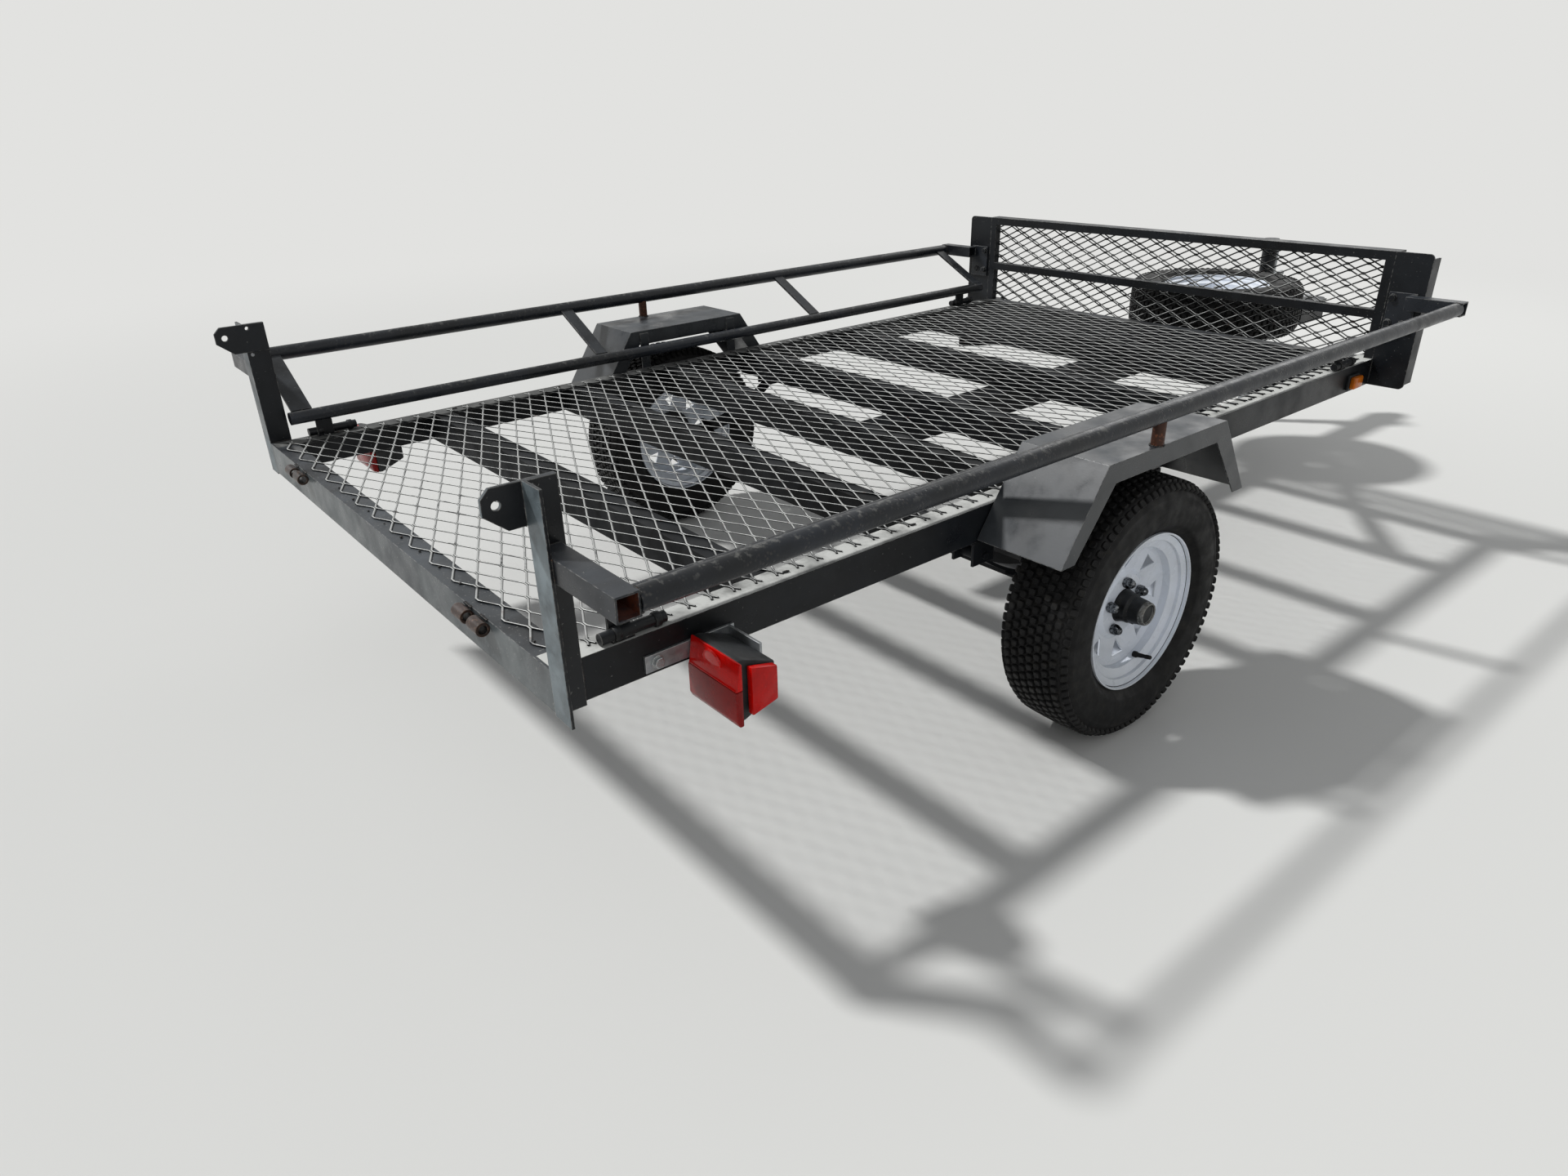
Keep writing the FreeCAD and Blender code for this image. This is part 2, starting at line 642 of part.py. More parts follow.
def rail_seats():
    """Upright lugs with a cross pin that carry the inner round rails on the side rails."""
    coped = []
    lug_in = HALF - size["mesh_edge"] + 2
    for word, side in SIDES:
        seats = []
        for number, (start, away) in enumerate(RAIL_SEATS, start=1):
            name = "seat_%s_%d" % (word, number)
            place = FROM[start] + away
            lug = box(name + "_lug", (place, place + 40), mirrored_span(side, lug_in, lug_in + 6), (TOP, INNER_Z))
            pin = rod(name + "_pin", "x", (place - 20, side * (HALF - 11), TOP + 12), 120, 10)
            base = box(name + "_base", (place, place + 40), mirrored_span(side, lug_in, HALF - 4),
                       (TOP, TOP + 8))
            seats.append(joined(name, [lug, pin, base]))
        cope = rail_cutter("seat_cope_" + word, side * INNER_Y, INNER_Z, INNER_RADIUS)
        coped.append(less("seats_" + word, group("seat_row_" + word, seats), [cope]))
    node("rail_seats", group("seats", coped))


# Fenders

def fenders():
    top, foot = TOP + size["fender_rise"], TOP - size["fender_drop"]
    wall, lip = size["fender_wall"], size["fender_lip"]
    flat, base = size["fender_half_top"], size["fender_half_foot"]
    slope = (base - flat) / (top - foot)
    inner, outer = HALF + size["fender_gap"], HALF + size["fender_out"]
    half_flat = flat - wall * 0.5
    shell = [(-base, foot), (-flat, top), (flat, top), (base, foot), (base - wall, foot),
             (half_flat, top - wall), (-half_flat, top - wall), (-base + wall, foot)]
    lip_base = base - lip
    edge = [(-base, foot), (-flat, top), (flat, top), (base, foot), (lip_base, foot),
            (flat - lip * slope, top - lip), (-flat + lip * slope, top - lip), (-lip_base, foot)]
    for word, side in SIDES:
        span = mirrored_span(side, inner, outer)
        skin = prism("fender_skin_" + word, "XZ", [shell], outer - inner, start=(AXLE_X, span[1], 0))
        lips = []
        for number, place in enumerate((span[1], span[0] + wall), start=1):
            lips.append(prism("fender_lip_%s_%d" % (word, number), "XZ", [edge], wall, start=(AXLE_X, place, 0)))
        straps = []
        for number, place in enumerate((-flat + 30, flat - 60), start=1):
            strap_y = mirrored_span(side, HALF, inner)
            straps.append(box("fender_strap_%s_%d" % (word, number), (AXLE_X + place, AXLE_X + place + 30),
                              strap_y, (RAIL_FOOT + 20, top - 8)))
        node("fender_" + word, joined("fender_set_" + word, [skin] + lips + straps))


# Headboard and front posts

def front_posts():
    width, depth, wall = size["channel_width"], size["channel_depth"], size["channel_wall"]
    high = TOP + size["headboard_rise"]
    bend = size["channel_round"]
    near, far = HALF, HALF + width
    for word, side in SIDES:
        outline = [(near, RAIL_FOOT), (far - bend, RAIL_FOOT), (far, RAIL_FOOT + bend, bend),
                   (far, high - bend), (far - bend, high, bend), (near, high)]
        points = [(point[0] * side, point[1]) + tuple(radius * side for radius in point[2:]) for point in outline]
        web = prism("channel_web_" + word, "YZ", [points], wall, start=(BED_END, 0, 0))
        flanges = [box("channel_near_" + word, (BED_END, BED_END + depth), mirrored_span(side, near, near + wall),
                       (RAIL_FOOT, high)),
                   box("channel_far_" + word, (BED_END, BED_END + depth), mirrored_span(side, far - wall, far),
                       (RAIL_FOOT + bend, high - bend))]
        node("front_post_" + word, joined("channel_" + word, [web] + flanges))


def headboard():
    bar, wall, depth = size["headboard_bar"], size["headboard_wall"], size["headboard_depth"]
    top, middle = TOP + size["headboard_rise"], TOP + size["headboard_mid_rise"]
    top_bar = square_tube("head_top", (BED_END, BED_END + depth), (-HALF, HALF), (top - bar, top), wall, "y")
    middle_bar = square_tube("head_middle", (BED_END, BED_END + bar), (-HALF + bar, HALF - bar),
                             (middle - bar, middle), wall, "y")
    uprights = [square_tube("head_side_%s" % word, (BED_END, BED_END + bar),
                            mirrored_span(side, HALF - bar, HALF), (TOP, top - bar), wall, "z")
                for word, side in SIDES]
    node("headboard_frame", joined("head_frame", [top_bar, middle_bar] + uprights))
    edge = HALF - 2
    rib, wall = size["mesh_rib"], size["mesh_wall"]
    rear_sheet = grid("head_mesh_rear", (BED_END + bar, BED_END + bar + wall), (-edge, edge), (TOP, top - bar),
                      HEADBOARD_OPENINGS, rib)
    front_sheet = grid("head_mesh_front", (BED_END + depth, BED_END + depth + wall), (-edge, edge), (TOP - 20, top),
                       HEADBOARD_OPENINGS, rib)
    node("headboard_mesh", group("head_mesh", [rear_sheet, front_sheet]))


# Tongue, braces and coupler

def tongue():
    beam = square_tube("beam", (size["tongue_start"], TONGUE_END), (-HALF_TONGUE, HALF_TONGUE),
                       (TONGUE_FOOT, TONGUE_TOP), size["tongue_wall"], "x")
    node("tongue_beam", beam)
    side_len, wall = size["brace_side"], size["brace_wall"]
    braces = []
    start_x = BED_END - size["brace_overlap"]
    end_x = BED_END + size["brace_reach"]
    for word, side in SIDES:
        out = size["brace_spread"]
        near = HALF_TONGUE
        web = [(start_x, out), (end_x, near), (end_x, near + wall), (start_x, out + wall)]
        flange = [(start_x, out), (end_x - 60, near + wall), (end_x, near + wall), (start_x, out + side_len)]
        web_plate = prism("brace_web_" + word, "XY", [[(x, y * side) for x, y in web]], side_len,
                          start=(0, 0, TONGUE_TOP - side_len))
        flange_plate = prism("brace_flange_" + word, "XY", [[(x, y * side) for x, y in flange]], wall,
                             start=(0, 0, TONGUE_TOP - wall))
        braces.append(joined("brace_" + word, [web_plate, flange_plate]))
    node("tongue_braces", group("braces", braces))


def coupler():
    wall = size["coupler_wall"]
    back = TONGUE_END - size["coupler_sleeve"]
    nose = TONGUE_END + size["coupler_nose"]
    ball_z = TONGUE_FOOT + 20
    roof_low = TONGUE_TOP
    roof = box("coupler_roof", (back, nose), (-HALF_TONGUE - wall, HALF_TONGUE + wall), (roof_low, roof_low + wall))
    cheeks = [box("coupler_cheek_" + word, (back, nose - 10), mirrored_span(side, HALF_TONGUE, HALF_TONGUE + wall),
                  (TONGUE_FOOT, roof_low)) for word, side in SIDES]
    outer_radius = COUPLER_RADIUS
    dome = ball("coupler_dome", (nose, 0, ball_z), outer_radius)
    neck = rod("coupler_neck", "z", (nose, 0, ball_z - 6), roof_low + wall - ball_z + 6, outer_radius)
    whole = joined("coupler_solid", [roof, dome, neck] + cheeks)
    socket = ball("coupler_socket", (nose, 0, ball_z), size["ball_radius"] + size["ball_gap"])
    throat = rod("coupler_throat", "z", (nose, 0, ball_z - 60), 60, size["ball_radius"] + size["ball_gap"])
    node("coupler", less("coupler_body", whole, [socket, throat]))
    latch = box("latch_bar", (TONGUE_END - 70, TONGUE_END + 20), (-14, 14), (roof_low + wall, roof_low + wall + 22))
    node("coupler_latch", latch)


# Axle, springs and hangers

EYE_Z = TOP - size["eye_drop"]
SEAT_Z = AXLE_Z + size["axle_side"] / 2 + size["spring_pad"]
SPRING_SAG = EYE_Z - SEAT_Z - 3 * size["leaf_wall"]
SPRING_RADIUS = (size["spring_half"] * size["spring_half"] + SPRING_SAG * SPRING_SAG) / (2 * SPRING_SAG)
SPRING_Y = HALF - size["rail_flange"] / 2 - size["spring_width"] / 2


def axle():
    half_side = size["axle_side"] / 2
    plug_half = half_side - size["axle_wall"]
    beam_end = WHEEL_Y + DISC - size["rim_wall"] - size["hub_back"] - size["hub_end_gap"]
    spindle_end = WHEEL_Y + DISC + size["spindle_reach"]
    pieces = [square_tube("axle_tube", (AXLE_X - half_side, AXLE_X + half_side), (-beam_end, beam_end),
                          (AXLE_Z - half_side, AXLE_Z + half_side), size["axle_wall"], "y")]
    for word, side in SIDES:
        pieces.append(box("axle_plug_" + word, (AXLE_X - plug_half, AXLE_X + plug_half),
                          mirrored_span(side, beam_end - 60, beam_end), (AXLE_Z - plug_half, AXLE_Z + plug_half)))
        start = beam_end - 30 if side > 0 else -spindle_end
        pieces.append(rod("spindle_" + word, "y", (AXLE_X, start, AXLE_Z), spindle_end - beam_end + 30,
                          size["spindle_diameter"] / 2))
    node("axle_beam", joined("axle", pieces))


def springs():
    half, leaf, width = size["spring_half"], size["leaf_wall"], size["spring_width"]
    radius = SPRING_RADIUS
    centre_z = EYE_Z - SPRING_SAG + radius
    eye_z = EYE_Z
    spring_y = SPRING_Y
    pieces = []
    for word, side in SIDES:
        leaves = []
        span = mirrored_span(side, spring_y, spring_y + width)
        for number, reach in enumerate((half, half * 0.72, half * 0.44)):
            inner = radius + number * leaf
            outer = inner + leaf
            low_in = centre_z - root(inner * inner - reach * reach)
            low_out = centre_z - root(outer * outer - reach * reach)
            outline = [(-reach, low_in), (-reach, low_out), (reach, low_out, outer), (reach, low_in),
                       (-reach, low_in, -inner)]
            leaves.append(prism("leaf_%s_%d" % (word, number), "XZ", [outline_of_leaf(outline)],
                                width, start=(AXLE_X, span[1], 0)))
        holes = []
        for number, place in enumerate((-half, half)):
            leaves.append(rod("eye_%s_%d" % (word, number), "y", (AXLE_X + place, span[0], eye_z), width,
                              size["eye_radius"]))
            holes.append(rod("eye_hole_%s_%d" % (word, number), "y", (AXLE_X + place, span[0], eye_z), width,
                             size["eye_bolt"] / 2))
        pieces.append(less("spring_" + word, joined("leaves_" + word, leaves), holes))
    node("leaf_springs", group("springs", pieces))


def outline_of_leaf(outline):
    """A closed strip between two arcs, from the five points of its edge."""
    first, second, third, fourth, closing = outline
    return [(first[0], first[1], closing[2]), second, third, fourth]


def spring_fittings():
    half, width = size["spring_half"], size["spring_width"]
    eye_z, spring_y = EYE_Z, SPRING_Y
    wall, gap = size["hanger_wall"], size["hanger_gap"]
    bridge_reach = 40
    hangers, clamps = [], []
    for word, side in SIDES:
        span = mirrored_span(side, spring_y - gap - wall, spring_y + width + gap + wall)
        for number, place in enumerate((-half, half), start=1):
            middle = AXLE_X + place
            length = size["hanger_length"] / 2
            name = "hanger_%s_%d" % (word, number)
            solid = box(name + "_block", (middle - length, middle + length), span, (eye_z - 18, RAIL_FOOT))
            slot = box(name + "_slot", (middle - length, middle + length), (span[0] + wall, span[1] - wall),
                       (eye_z - 18, RAIL_FOOT - wall))
            bolt = rod(name + "_bolt", "y", (middle, span[0] - 8, eye_z), span[1] - span[0] + 16,
                       size["eye_bolt"] / 2)
            hangers.append(joined(name, [less(name + "_shell", solid, [slot]), bolt]))
        axle_half = size["axle_side"] / 2
        seat_low, seat_high = AXLE_Z + axle_half, AXLE_Z + axle_half + size["spring_pad"]
        top = seat_high + 3 * size["leaf_wall"] + bridge_reach * bridge_reach / (2 * SPRING_RADIUS)
        name = "clamp_" + word
        wide = mirrored_span(side, spring_y - 14, spring_y + width + 14)
        pad = box(name + "_pad", (AXLE_X - 40, AXLE_X + 40), wide, (seat_low, seat_high))
        plate = box(name + "_plate", (AXLE_X - 48, AXLE_X + 48), wide,
                    (AXLE_Z - axle_half - 8, AXLE_Z - axle_half))
        bolts = []
        for number, (along, across) in enumerate(((-34, 0), (34, 0), (-34, 1), (34, 1)), start=1):
            place_y = wide[0] + 7 if across == 0 else wide[1] - 7
            bolts.append(rod(name + "_bolt_%d" % number, "z", (AXLE_X + along, place_y, AXLE_Z - axle_half - 20),
                             top + 6 - (AXLE_Z - axle_half - 20), size["u_bolt"] / 2))
        bridges = [box(name + "_bridge_%d" % number, (AXLE_X + along - 6, AXLE_X + along + 6),
                       (wide[0] + 1, wide[1] - 1), (top, top + 10))
                   for number, along in enumerate((-34, 34), start=1)]
        clamps.append(joined(name, [pad, plate] + bolts + bridges))
    node("spring_hangers", group("hangers", hangers))
    node("spring_clamps", group("clamps", clamps))


# Wheels: tyre, rim and hub are each one turned piece

def tyre_outline():
    """Half a dozen straight sides round the air chamber, from one rim flange to the other."""
    half, tread = size["tyre_width"] / 2, size["tread_width"] / 2
    outer, inner = size["tyre_radius"], size["rim_radius"] + size["tyre_gap"]
    foot = size["rim_width"] / 2 - 6
    belly = inner + (outer - inner) * 0.39
    roof = outer - size["tread_depth"]
    return [(-foot, inner), (-half, belly), (-tread, outer), (tread, outer), (half, belly), (foot, inner),
            (foot, roof), (-foot, roof)]


def rim_outline(side):
    """The barrel with its two edges and drop centre, and the disc inside it."""
    wall = size["rim_wall"]
    edge, rim, bead, well = size["rim_width"] / 2, size["rim_radius"], size["bead_radius"], size["well_radius"]
    seat = edge - 12
    disc, dish = DISC, size["disc_dish"]
    plateau = size["stud_circle"] / 2 + 14
    ring = plateau + 11
    bore = size["centre_bore"] / 2
    points = [(edge, rim), (edge, rim - wall), (seat + wall, rim - wall), (seat, bead - wall),
              (disc + 34, bead - wall), (disc + 26, well - wall), (disc + 8, well - wall),
              (disc + 4, well - 3 * wall), (disc - dish, ring), (disc, plateau), (disc, bore),
              (disc - wall, bore), (disc - wall, plateau - 1), (disc - dish - wall, ring),
              (disc + 4 - wall, well - 3 * wall), (disc - 8, well - wall), (-seat + 24, well - wall),
              (-seat + 10, bead - wall),
              (-seat, bead - wall), (-seat - wall, rim - wall), (-edge, rim - wall), (-edge, rim),
              (-seat - wall, rim), (-seat, bead), (-seat + 14, bead), (-seat + 28, well),
              (disc + 22, well), (disc + 30, bead), (seat, bead), (seat + wall, rim)]
    return [(across * side, up) for across, up in points]


def hub_outline(side):
    disc, wall = DISC, size["rim_wall"]
    face = disc - wall
    flange, barrel = size["hub_flange_diameter"] / 2, size["hub_diameter"] / 2
    bore = size["spindle_diameter"] / 2 + size["spindle_gap"]
    end = disc + size["hub_reach"]
    hollow = disc + 40
    points = [(face, flange), (face, barrel + 4), (disc + 3, barrel + 4), (disc + 14, barrel),
              (disc + 24, barrel), (disc + 30, barrel - 4), (end - 6, barrel - 6),
              (end, barrel - 12), (end, 0), (hollow, 0), (hollow, bore), (face - size["hub_back"], bore),
              (face - size["hub_back"], barrel), (face - size["hub_flange_wall"], barrel),
              (face - size["hub_flange_wall"], flange)]
    return [(across * side, up) for across, up in points]


def punch_disc(rim, plane, axis):
    """Five stud holes, and eight three-sided vents that point to the hub."""
    half = size["vent_half"]
    vent = [(-half, size["vent_outer"]), (0, size["vent_inner"]), (half, size["vent_outer"])]
    circle = size["stud_circle"] / 2
    stud = (circle * math.cos(FIRST_STUD), circle * math.sin(FIRST_STUD), size["stud_diameter"] / 2)
    for name, outlines, circles, count in (("studs", [], [stud], 5), ("vents", [vent], [], 8)):
        sketch = sketch_on(rim, plane, outlines, circles)
        pocket = rim.newObject("PartDesign::Pocket", "%s_%s" % (rim.Name, name))
        pocket.Profile = sketch
        pocket.Midplane = True
        bind(pocket, Length=size["rim_width"])
        pattern = rim.newObject("PartDesign::PolarPattern", "%s_%s_ring" % (rim.Name, name))
        pattern.Originals = [pocket]
        pattern.Axis = (origin_feature(rim, axis), [""])
        pattern.Angle = 360
        pattern.Occurrences = count
        rim.Tip = pattern


def wheels():
    for word, side in SIDES:
        centre = (AXLE_X, side * WHEEL_Y, AXLE_Z)
        node("tyre_" + word, turned("tyre_ring_" + word, [tyre_outline()], centre))
        rim = turned("rim_ring_" + word, [rim_outline(side)], centre)
        punch_disc(rim, "XZ", "Y_Axis")
        node("rim_" + word, rim)
        node("hub_" + word, turned("hub_ring_" + word, [hub_outline(side)], centre))


# Spare wheel, lying on the tongue with its disc's face up

def spare():
    x = SPARE_X
    z = TONGUE_TOP + size["spare_lift"] + size["spare_gap"] + size["tyre_width"] / 2
    for name, outline in (("tyre", tyre_outline()), ("rim", rim_outline(1))):
        ring = doc.addObject("PartDesign::Body", "spare_%s_ring" % name)
        sketch = sketch_on(ring, "XZ", [[(up, across) for across, up in outline]])
        spin = ring.newObject("PartDesign::Revolution", "spare_%s_spin" % name)
        spin.Profile = sketch
        spin.ReferenceAxis = (sketch, ["V_Axis"])
        spin.Angle = 360
        if name == "rim":
            punch_disc(ring, "XY", "Z_Axis")
        put(ring, x, 0, z)
        node("spare_" + name, ring)
    plate_top = TONGUE_TOP + size["spare_lift"]
    half_plate = size["spare_plate"] / 2
    bridge = box("carrier_plate", (x - 30, x + 30), (-half_plate, half_plate), (TONGUE_TOP, plate_top))
    post = rod("carrier_post", "z", (x, 0, plate_top), z + DISC - size["rim_wall"] - plate_top, 45)
    stud = rod("carrier_stud", "z", (x, 0, plate_top), z + DISC + 38 - plate_top, 8)
    clamp = box("carrier_clamp", (x - 25, x + 25), (-75, 75), (z + DISC, z + DISC + 8))
    node("spare_carrier", joined("carrier", [bridge, post, stud, clamp]))


# Jack on the tongue's left side

def jack():
    x = JACK_X
    radius = size["jack_diameter"] / 2
    y = HALF_TONGUE + size["jack_gap"] + radius
    low, high = size["jack_foot_rise"], size["jack_top"]
    housing = tube("jack_tube", "z", (x, y, low), high - low, radius, size["jack_wall"])
    cap = rod("jack_cap", "z", (x, y, high), 12, radius)
    arm = box("jack_arm", (x - 30, x + 30), (HALF_TONGUE, y - radius + 3), (TONGUE_FOOT + 8, TONGUE_TOP - 8))
    # The crank hangs ahead of the tube, on the gear box at its top
    half_gear, gear_front = size["gear_side"] / 2, x + radius + size["gear_reach"]
    shaft_height = high - half_gear
    gear = box("jack_gear", (x, gear_front), (y - half_gear, y + half_gear), (high - size["gear_side"], high))
    core = rod("jack_core", "z", (x, y, high - size["gear_side"]), size["gear_side"], radius - size["jack_wall"] / 2)
    node("jack_housing", joined("jack_solid", [housing, core, gear, cap, arm]))
    crank_x, grip_height = gear_front + size["crank_reach"], shaft_height - size["crank_drop"]
    shaft = rod("crank_shaft", "x", (gear_front, y, shaft_height), size["crank_reach"], 7)
    bar = rod("crank_bar", "z", (crank_x, y, grip_height), size["crank_drop"] + 9, 6)
    grip = rod("crank_grip", "x", (crank_x, y, grip_height), size["crank_grip"], 10)
    node("jack_crank", joined("crank", [shaft, bar, grip]))
    leg_radius = size["leg_diameter"] / 2
    leg = rod("leg_bar", "z", (x, y, size["foot_wall"]), low + size["leg_overlap"] - size["foot_wall"],
              leg_radius)
    foot_half = size["foot_width"] / 2
    foot = box("leg_foot", (x - foot_half, x + foot_half), (y - foot_half, y + foot_half), (0, size["foot_wall"]))
    node("jack_leg", joined("leg", [leg, foot]))


# Lamps

def lamps():
    width, height, depth = size["lamp_width"], size["lamp_height"], size["lamp_depth"]
    top = TOP - size["lamp_drop"]
    back = size["lamp_back"]
    near = HALF + size["lamp_out"]
    lens = size["lens_wall"]
    foot = top - height
    # Outlines seen from the side: the rear lens leans forward over its step, the body tapers
    rear_lens = [(back + lens, top), (back + lens, foot), (back + 6, foot), (back, foot + 11),
                 (back, foot + height * 0.58), (back + 10, top)]
    housing = [(back + lens, top), (back + lens, foot), (back + depth, foot + 24), (back + depth, top - 24)]
    side_back, side_front = back + lens + size["lens_gap"], back + depth - 6
    side_lens = [(side_back, top - 12), (side_back, foot + 14), (side_front, foot + 26), (side_front, top - 26)]
    housings, lenses, bars, markers = [], [], [], []
    for word, side in SIDES:
        for name, outline, inner, outer, pieces in (
                ("body", housing, near, near + width - lens, housings),
                ("rear_lens", rear_lens, near, near + width, lenses),
                ("side_lens", side_lens, near + width - lens, near + width, lenses)):
            start = outer if side > 0 else -inner
            pieces.append(prism("lamp_%s_%s" % (name, word), "XZ", [outline], outer - inner, start=(0, start, 0)))
        bar_low = top - size["lamp_bar"] - 12
        along = box("lamp_bar_" + word, (back - 76, back + depth + 12),
                    mirrored_span(side, HALF, HALF + size["lamp_bar_wall"]),
                    (bar_low, bar_low + size["lamp_bar"]))
        out = box("lamp_bar_out_" + word, (back + depth, back + depth + size["lamp_bar_wall"]),
                  mirrored_span(side, HALF + size["lamp_bar_wall"], near + width * 0.6),
                  (bar_low, bar_low + size["lamp_bar"]))
        bars.append(joined("lamp_bars_" + word, [along, out]))
        place = BED_END - size["marker_place"]
        markers.append(box("marker_" + word, (place, place + size["marker_length"]),
                           mirrored_span(side, HALF, HALF + size["marker_depth"]),
                           (TOP - 24 - size["marker_height"], TOP - 24)))
    node("tail_lamps", group("lamp_bodies", housings))
    node("tail_lenses", group("lamp_lenses", lenses))
    node("lamp_brackets", group("lamp_bars", bars))
    node("side_markers", group("markers", markers))


side_rails()
crossmembers()
floor_mesh()
rear_posts()
gate_hinge_barrels()
round_rails()
outriggers()
rail_struts()
rail_seats()
fenders()
front_posts()
headboard()
tongue()
coupler()
axle()
springs()
spring_fittings()
wheels()
spare()
jack()
lamps()

doc.recompute()
for thing in doc.Objects:
    if "Invalid" in thing.State or "Error" in thing.State:
        raise RuntimeError("%s: %s" % (thing.Name, thing.State))
os.makedirs("parts", exist_ok=True)
for thing in nodes:
    shape = thing.Shape
    if shape.isNull() or not shape.isValid():
        raise RuntimeError("bad shape: " + thing.Label)
    shape.exportStep("parts/%s.step" % thing.Label)
whole = Part.makeCompound([thing.Shape for thing in nodes]).BoundBox
print(len(nodes), "nodes", whole)
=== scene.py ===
"""The finished look of a single-axle utility trailer with an expanded-metal floor.

Metres, in the trailer's own frame: X forward to the coupler, Y to the left, Z up, and the origin
on the ground in the middle of its length and width.
"""

import math

import bmesh
import bpy
from mathutils import Matrix, Vector


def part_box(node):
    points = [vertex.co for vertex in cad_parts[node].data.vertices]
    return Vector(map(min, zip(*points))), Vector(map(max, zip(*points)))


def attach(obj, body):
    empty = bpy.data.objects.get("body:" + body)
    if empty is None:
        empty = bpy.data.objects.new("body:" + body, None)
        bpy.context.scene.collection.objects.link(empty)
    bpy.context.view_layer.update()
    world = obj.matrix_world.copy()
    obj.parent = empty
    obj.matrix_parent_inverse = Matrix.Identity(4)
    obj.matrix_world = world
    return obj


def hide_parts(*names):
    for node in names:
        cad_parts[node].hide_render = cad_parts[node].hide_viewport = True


bl_info = {
    "name": "Utility trailer finish",
    "version": (1, 0, 0),
    "blender": (4, 5, 0),
    "location": "View3D > Sidebar > Trailer",
    "description": "Mesh panels, tyres, lamps, fasteners and paint of a utility trailer",
    "category": "Object",
}

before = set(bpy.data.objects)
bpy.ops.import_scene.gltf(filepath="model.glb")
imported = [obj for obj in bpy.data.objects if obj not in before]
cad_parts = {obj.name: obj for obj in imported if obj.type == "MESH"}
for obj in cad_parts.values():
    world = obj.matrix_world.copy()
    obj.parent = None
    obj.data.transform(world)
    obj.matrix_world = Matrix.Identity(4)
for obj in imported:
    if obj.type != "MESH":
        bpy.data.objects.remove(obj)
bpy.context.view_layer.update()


def linear(code):
    """An sRGB hex colour as linear red, green and blue."""
    values = [int(code[place:place + 2], 16) / 255 for place in (1, 3, 5)]
    return tuple(value / 12.92 if value <= 0.04045 else ((value + 0.055) / 1.055) ** 2.4
                 for value in values)


def rgba(colour):
    """A colour with its alpha, from a hex code or from one of the panel's colours."""
    return (*(linear(colour) if isinstance(colour, str) else colour), 1.0)


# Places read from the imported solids

BED_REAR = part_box("rear_crossmember")[0].x
BED_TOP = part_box("side_rail_left")[1].z
BED_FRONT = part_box("headboard_frame")[0].x
BED_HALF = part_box("side_rail_left")[1].y
SIDES = (("left", 1), ("right", -1))


# Sizes and colours that a user may change

def size_property(name, description, default, least=0.001):
    """A length in metres."""
    return bpy.props.FloatProperty(name=name, description=description, unit="LENGTH", default=default,
                                   min=least)


def colour_property(name, description, code):
    """A colour, given as sRGB hex."""
    return bpy.props.FloatVectorProperty(name=name, description=description, subtype="COLOR", size=3,
                                         default=linear(code))


class TrailerSizes(bpy.types.PropertyGroup):
    diamond_long: size_property("Diamond length", "Long way of the expanded metal's diamonds", 0.1016, 0.02)
    diamond_short: size_property("Diamond width", "Short way of the expanded metal's diamonds", 0.047, 0.01)
    strand_width: size_property("Strand width", "Width of the mesh's strands", 0.0040)
    strand_thickness: size_property("Strand thickness", "Thickness of the mesh's strands", 0.0022, 0.0005)
    bond_length: size_property("Bond length", "How far two strands run together at a knuckle", 0.011)
    groove_depth: size_property("Groove depth", "Depth of the tyre's tread", 0.0075)
    blocks_around: bpy.props.IntProperty(
        name="Blocks around", description="Tread blocks in one row of the tyre", default=84, min=20)
    weld_width: size_property("Weld width", "Width of the weld beads", 0.0065)


class TrailerColours(bpy.types.PropertyGroup):
    paint: colour_property("Frame paint", "Black enamel of the frame", "#0d0e10")
    faded_paint: colour_property("Faded paint", "The same enamel where the sun has dulled it", "#1a1d21")
    steel: colour_property("Bare steel", "Steel where the paint is worn through", "#8d8c88")
    rust: colour_property("Rust", "Rust inside open tubes and in chips", "#643524")
    # The light coat on upward faces: dust, and also painted sheen
    dust: colour_property("Dust", "Chalked paint, dust and painted sheen on what faces up", "#767b80")
    rim: colour_property("Rim enamel", "White enamel of the rims", "#e2e8f2")
    rubber: colour_property("Rubber", "Tyre rubber", "#0c0c0d")
    red: colour_property("Red lens", "Red acrylic of the tail lamps", "#d40c06")
    amber: colour_property("Amber lens", "Amber acrylic of the side markers", "#d8740f")
    floor: colour_property("Studio floor", "Pale floor under the trailer", "#d6d6d3")
    backdrop: colour_property("Backdrop", "Pale backdrop round the trailer", "#e2e2e0")


# Node trees

# How much a full coat of dust and painted sheen adds to a roughness
DUST_DULLS = 1.1


def add(tree, kind, inputs=None, **settings):
    """Add a node with its settings; each input gets a value, or a link from a socket or a node.

    The kind goes without the ShaderNode or GeometryNode that the tree's own kind starts with.
    """
    made = tree.nodes.new(kind if "Node" in kind else tree.bl_idname.replace("Tree", kind))
    for word, value in settings.items():
        setattr(made, word, value)
    for key, value in (inputs or {}).items():
        if isinstance(value, bpy.types.Node):
            value = next(socket for socket in value.outputs if socket.enabled)
        if isinstance(value, bpy.types.NodeSocket):
            tree.links.new(value, made.inputs[key])
        else:
            made.inputs[key].default_value = value
    return made


def new_finish(name):
    """An empty material and its tree, with the object coordinates that its patterns lie on."""
    old = bpy.data.materials.get(name)
    if old:
        bpy.data.materials.remove(old)
    made = bpy.data.materials.new(name)
    made.use_nodes = True
    made.node_tree.nodes.clear()
    add(made.node_tree, "TexCoord", name="place")
    return made, made.node_tree


def where(tree, which="Object"):
    """The coordinates of a finish, or its normals."""
    return tree.nodes["place"].outputs[which]


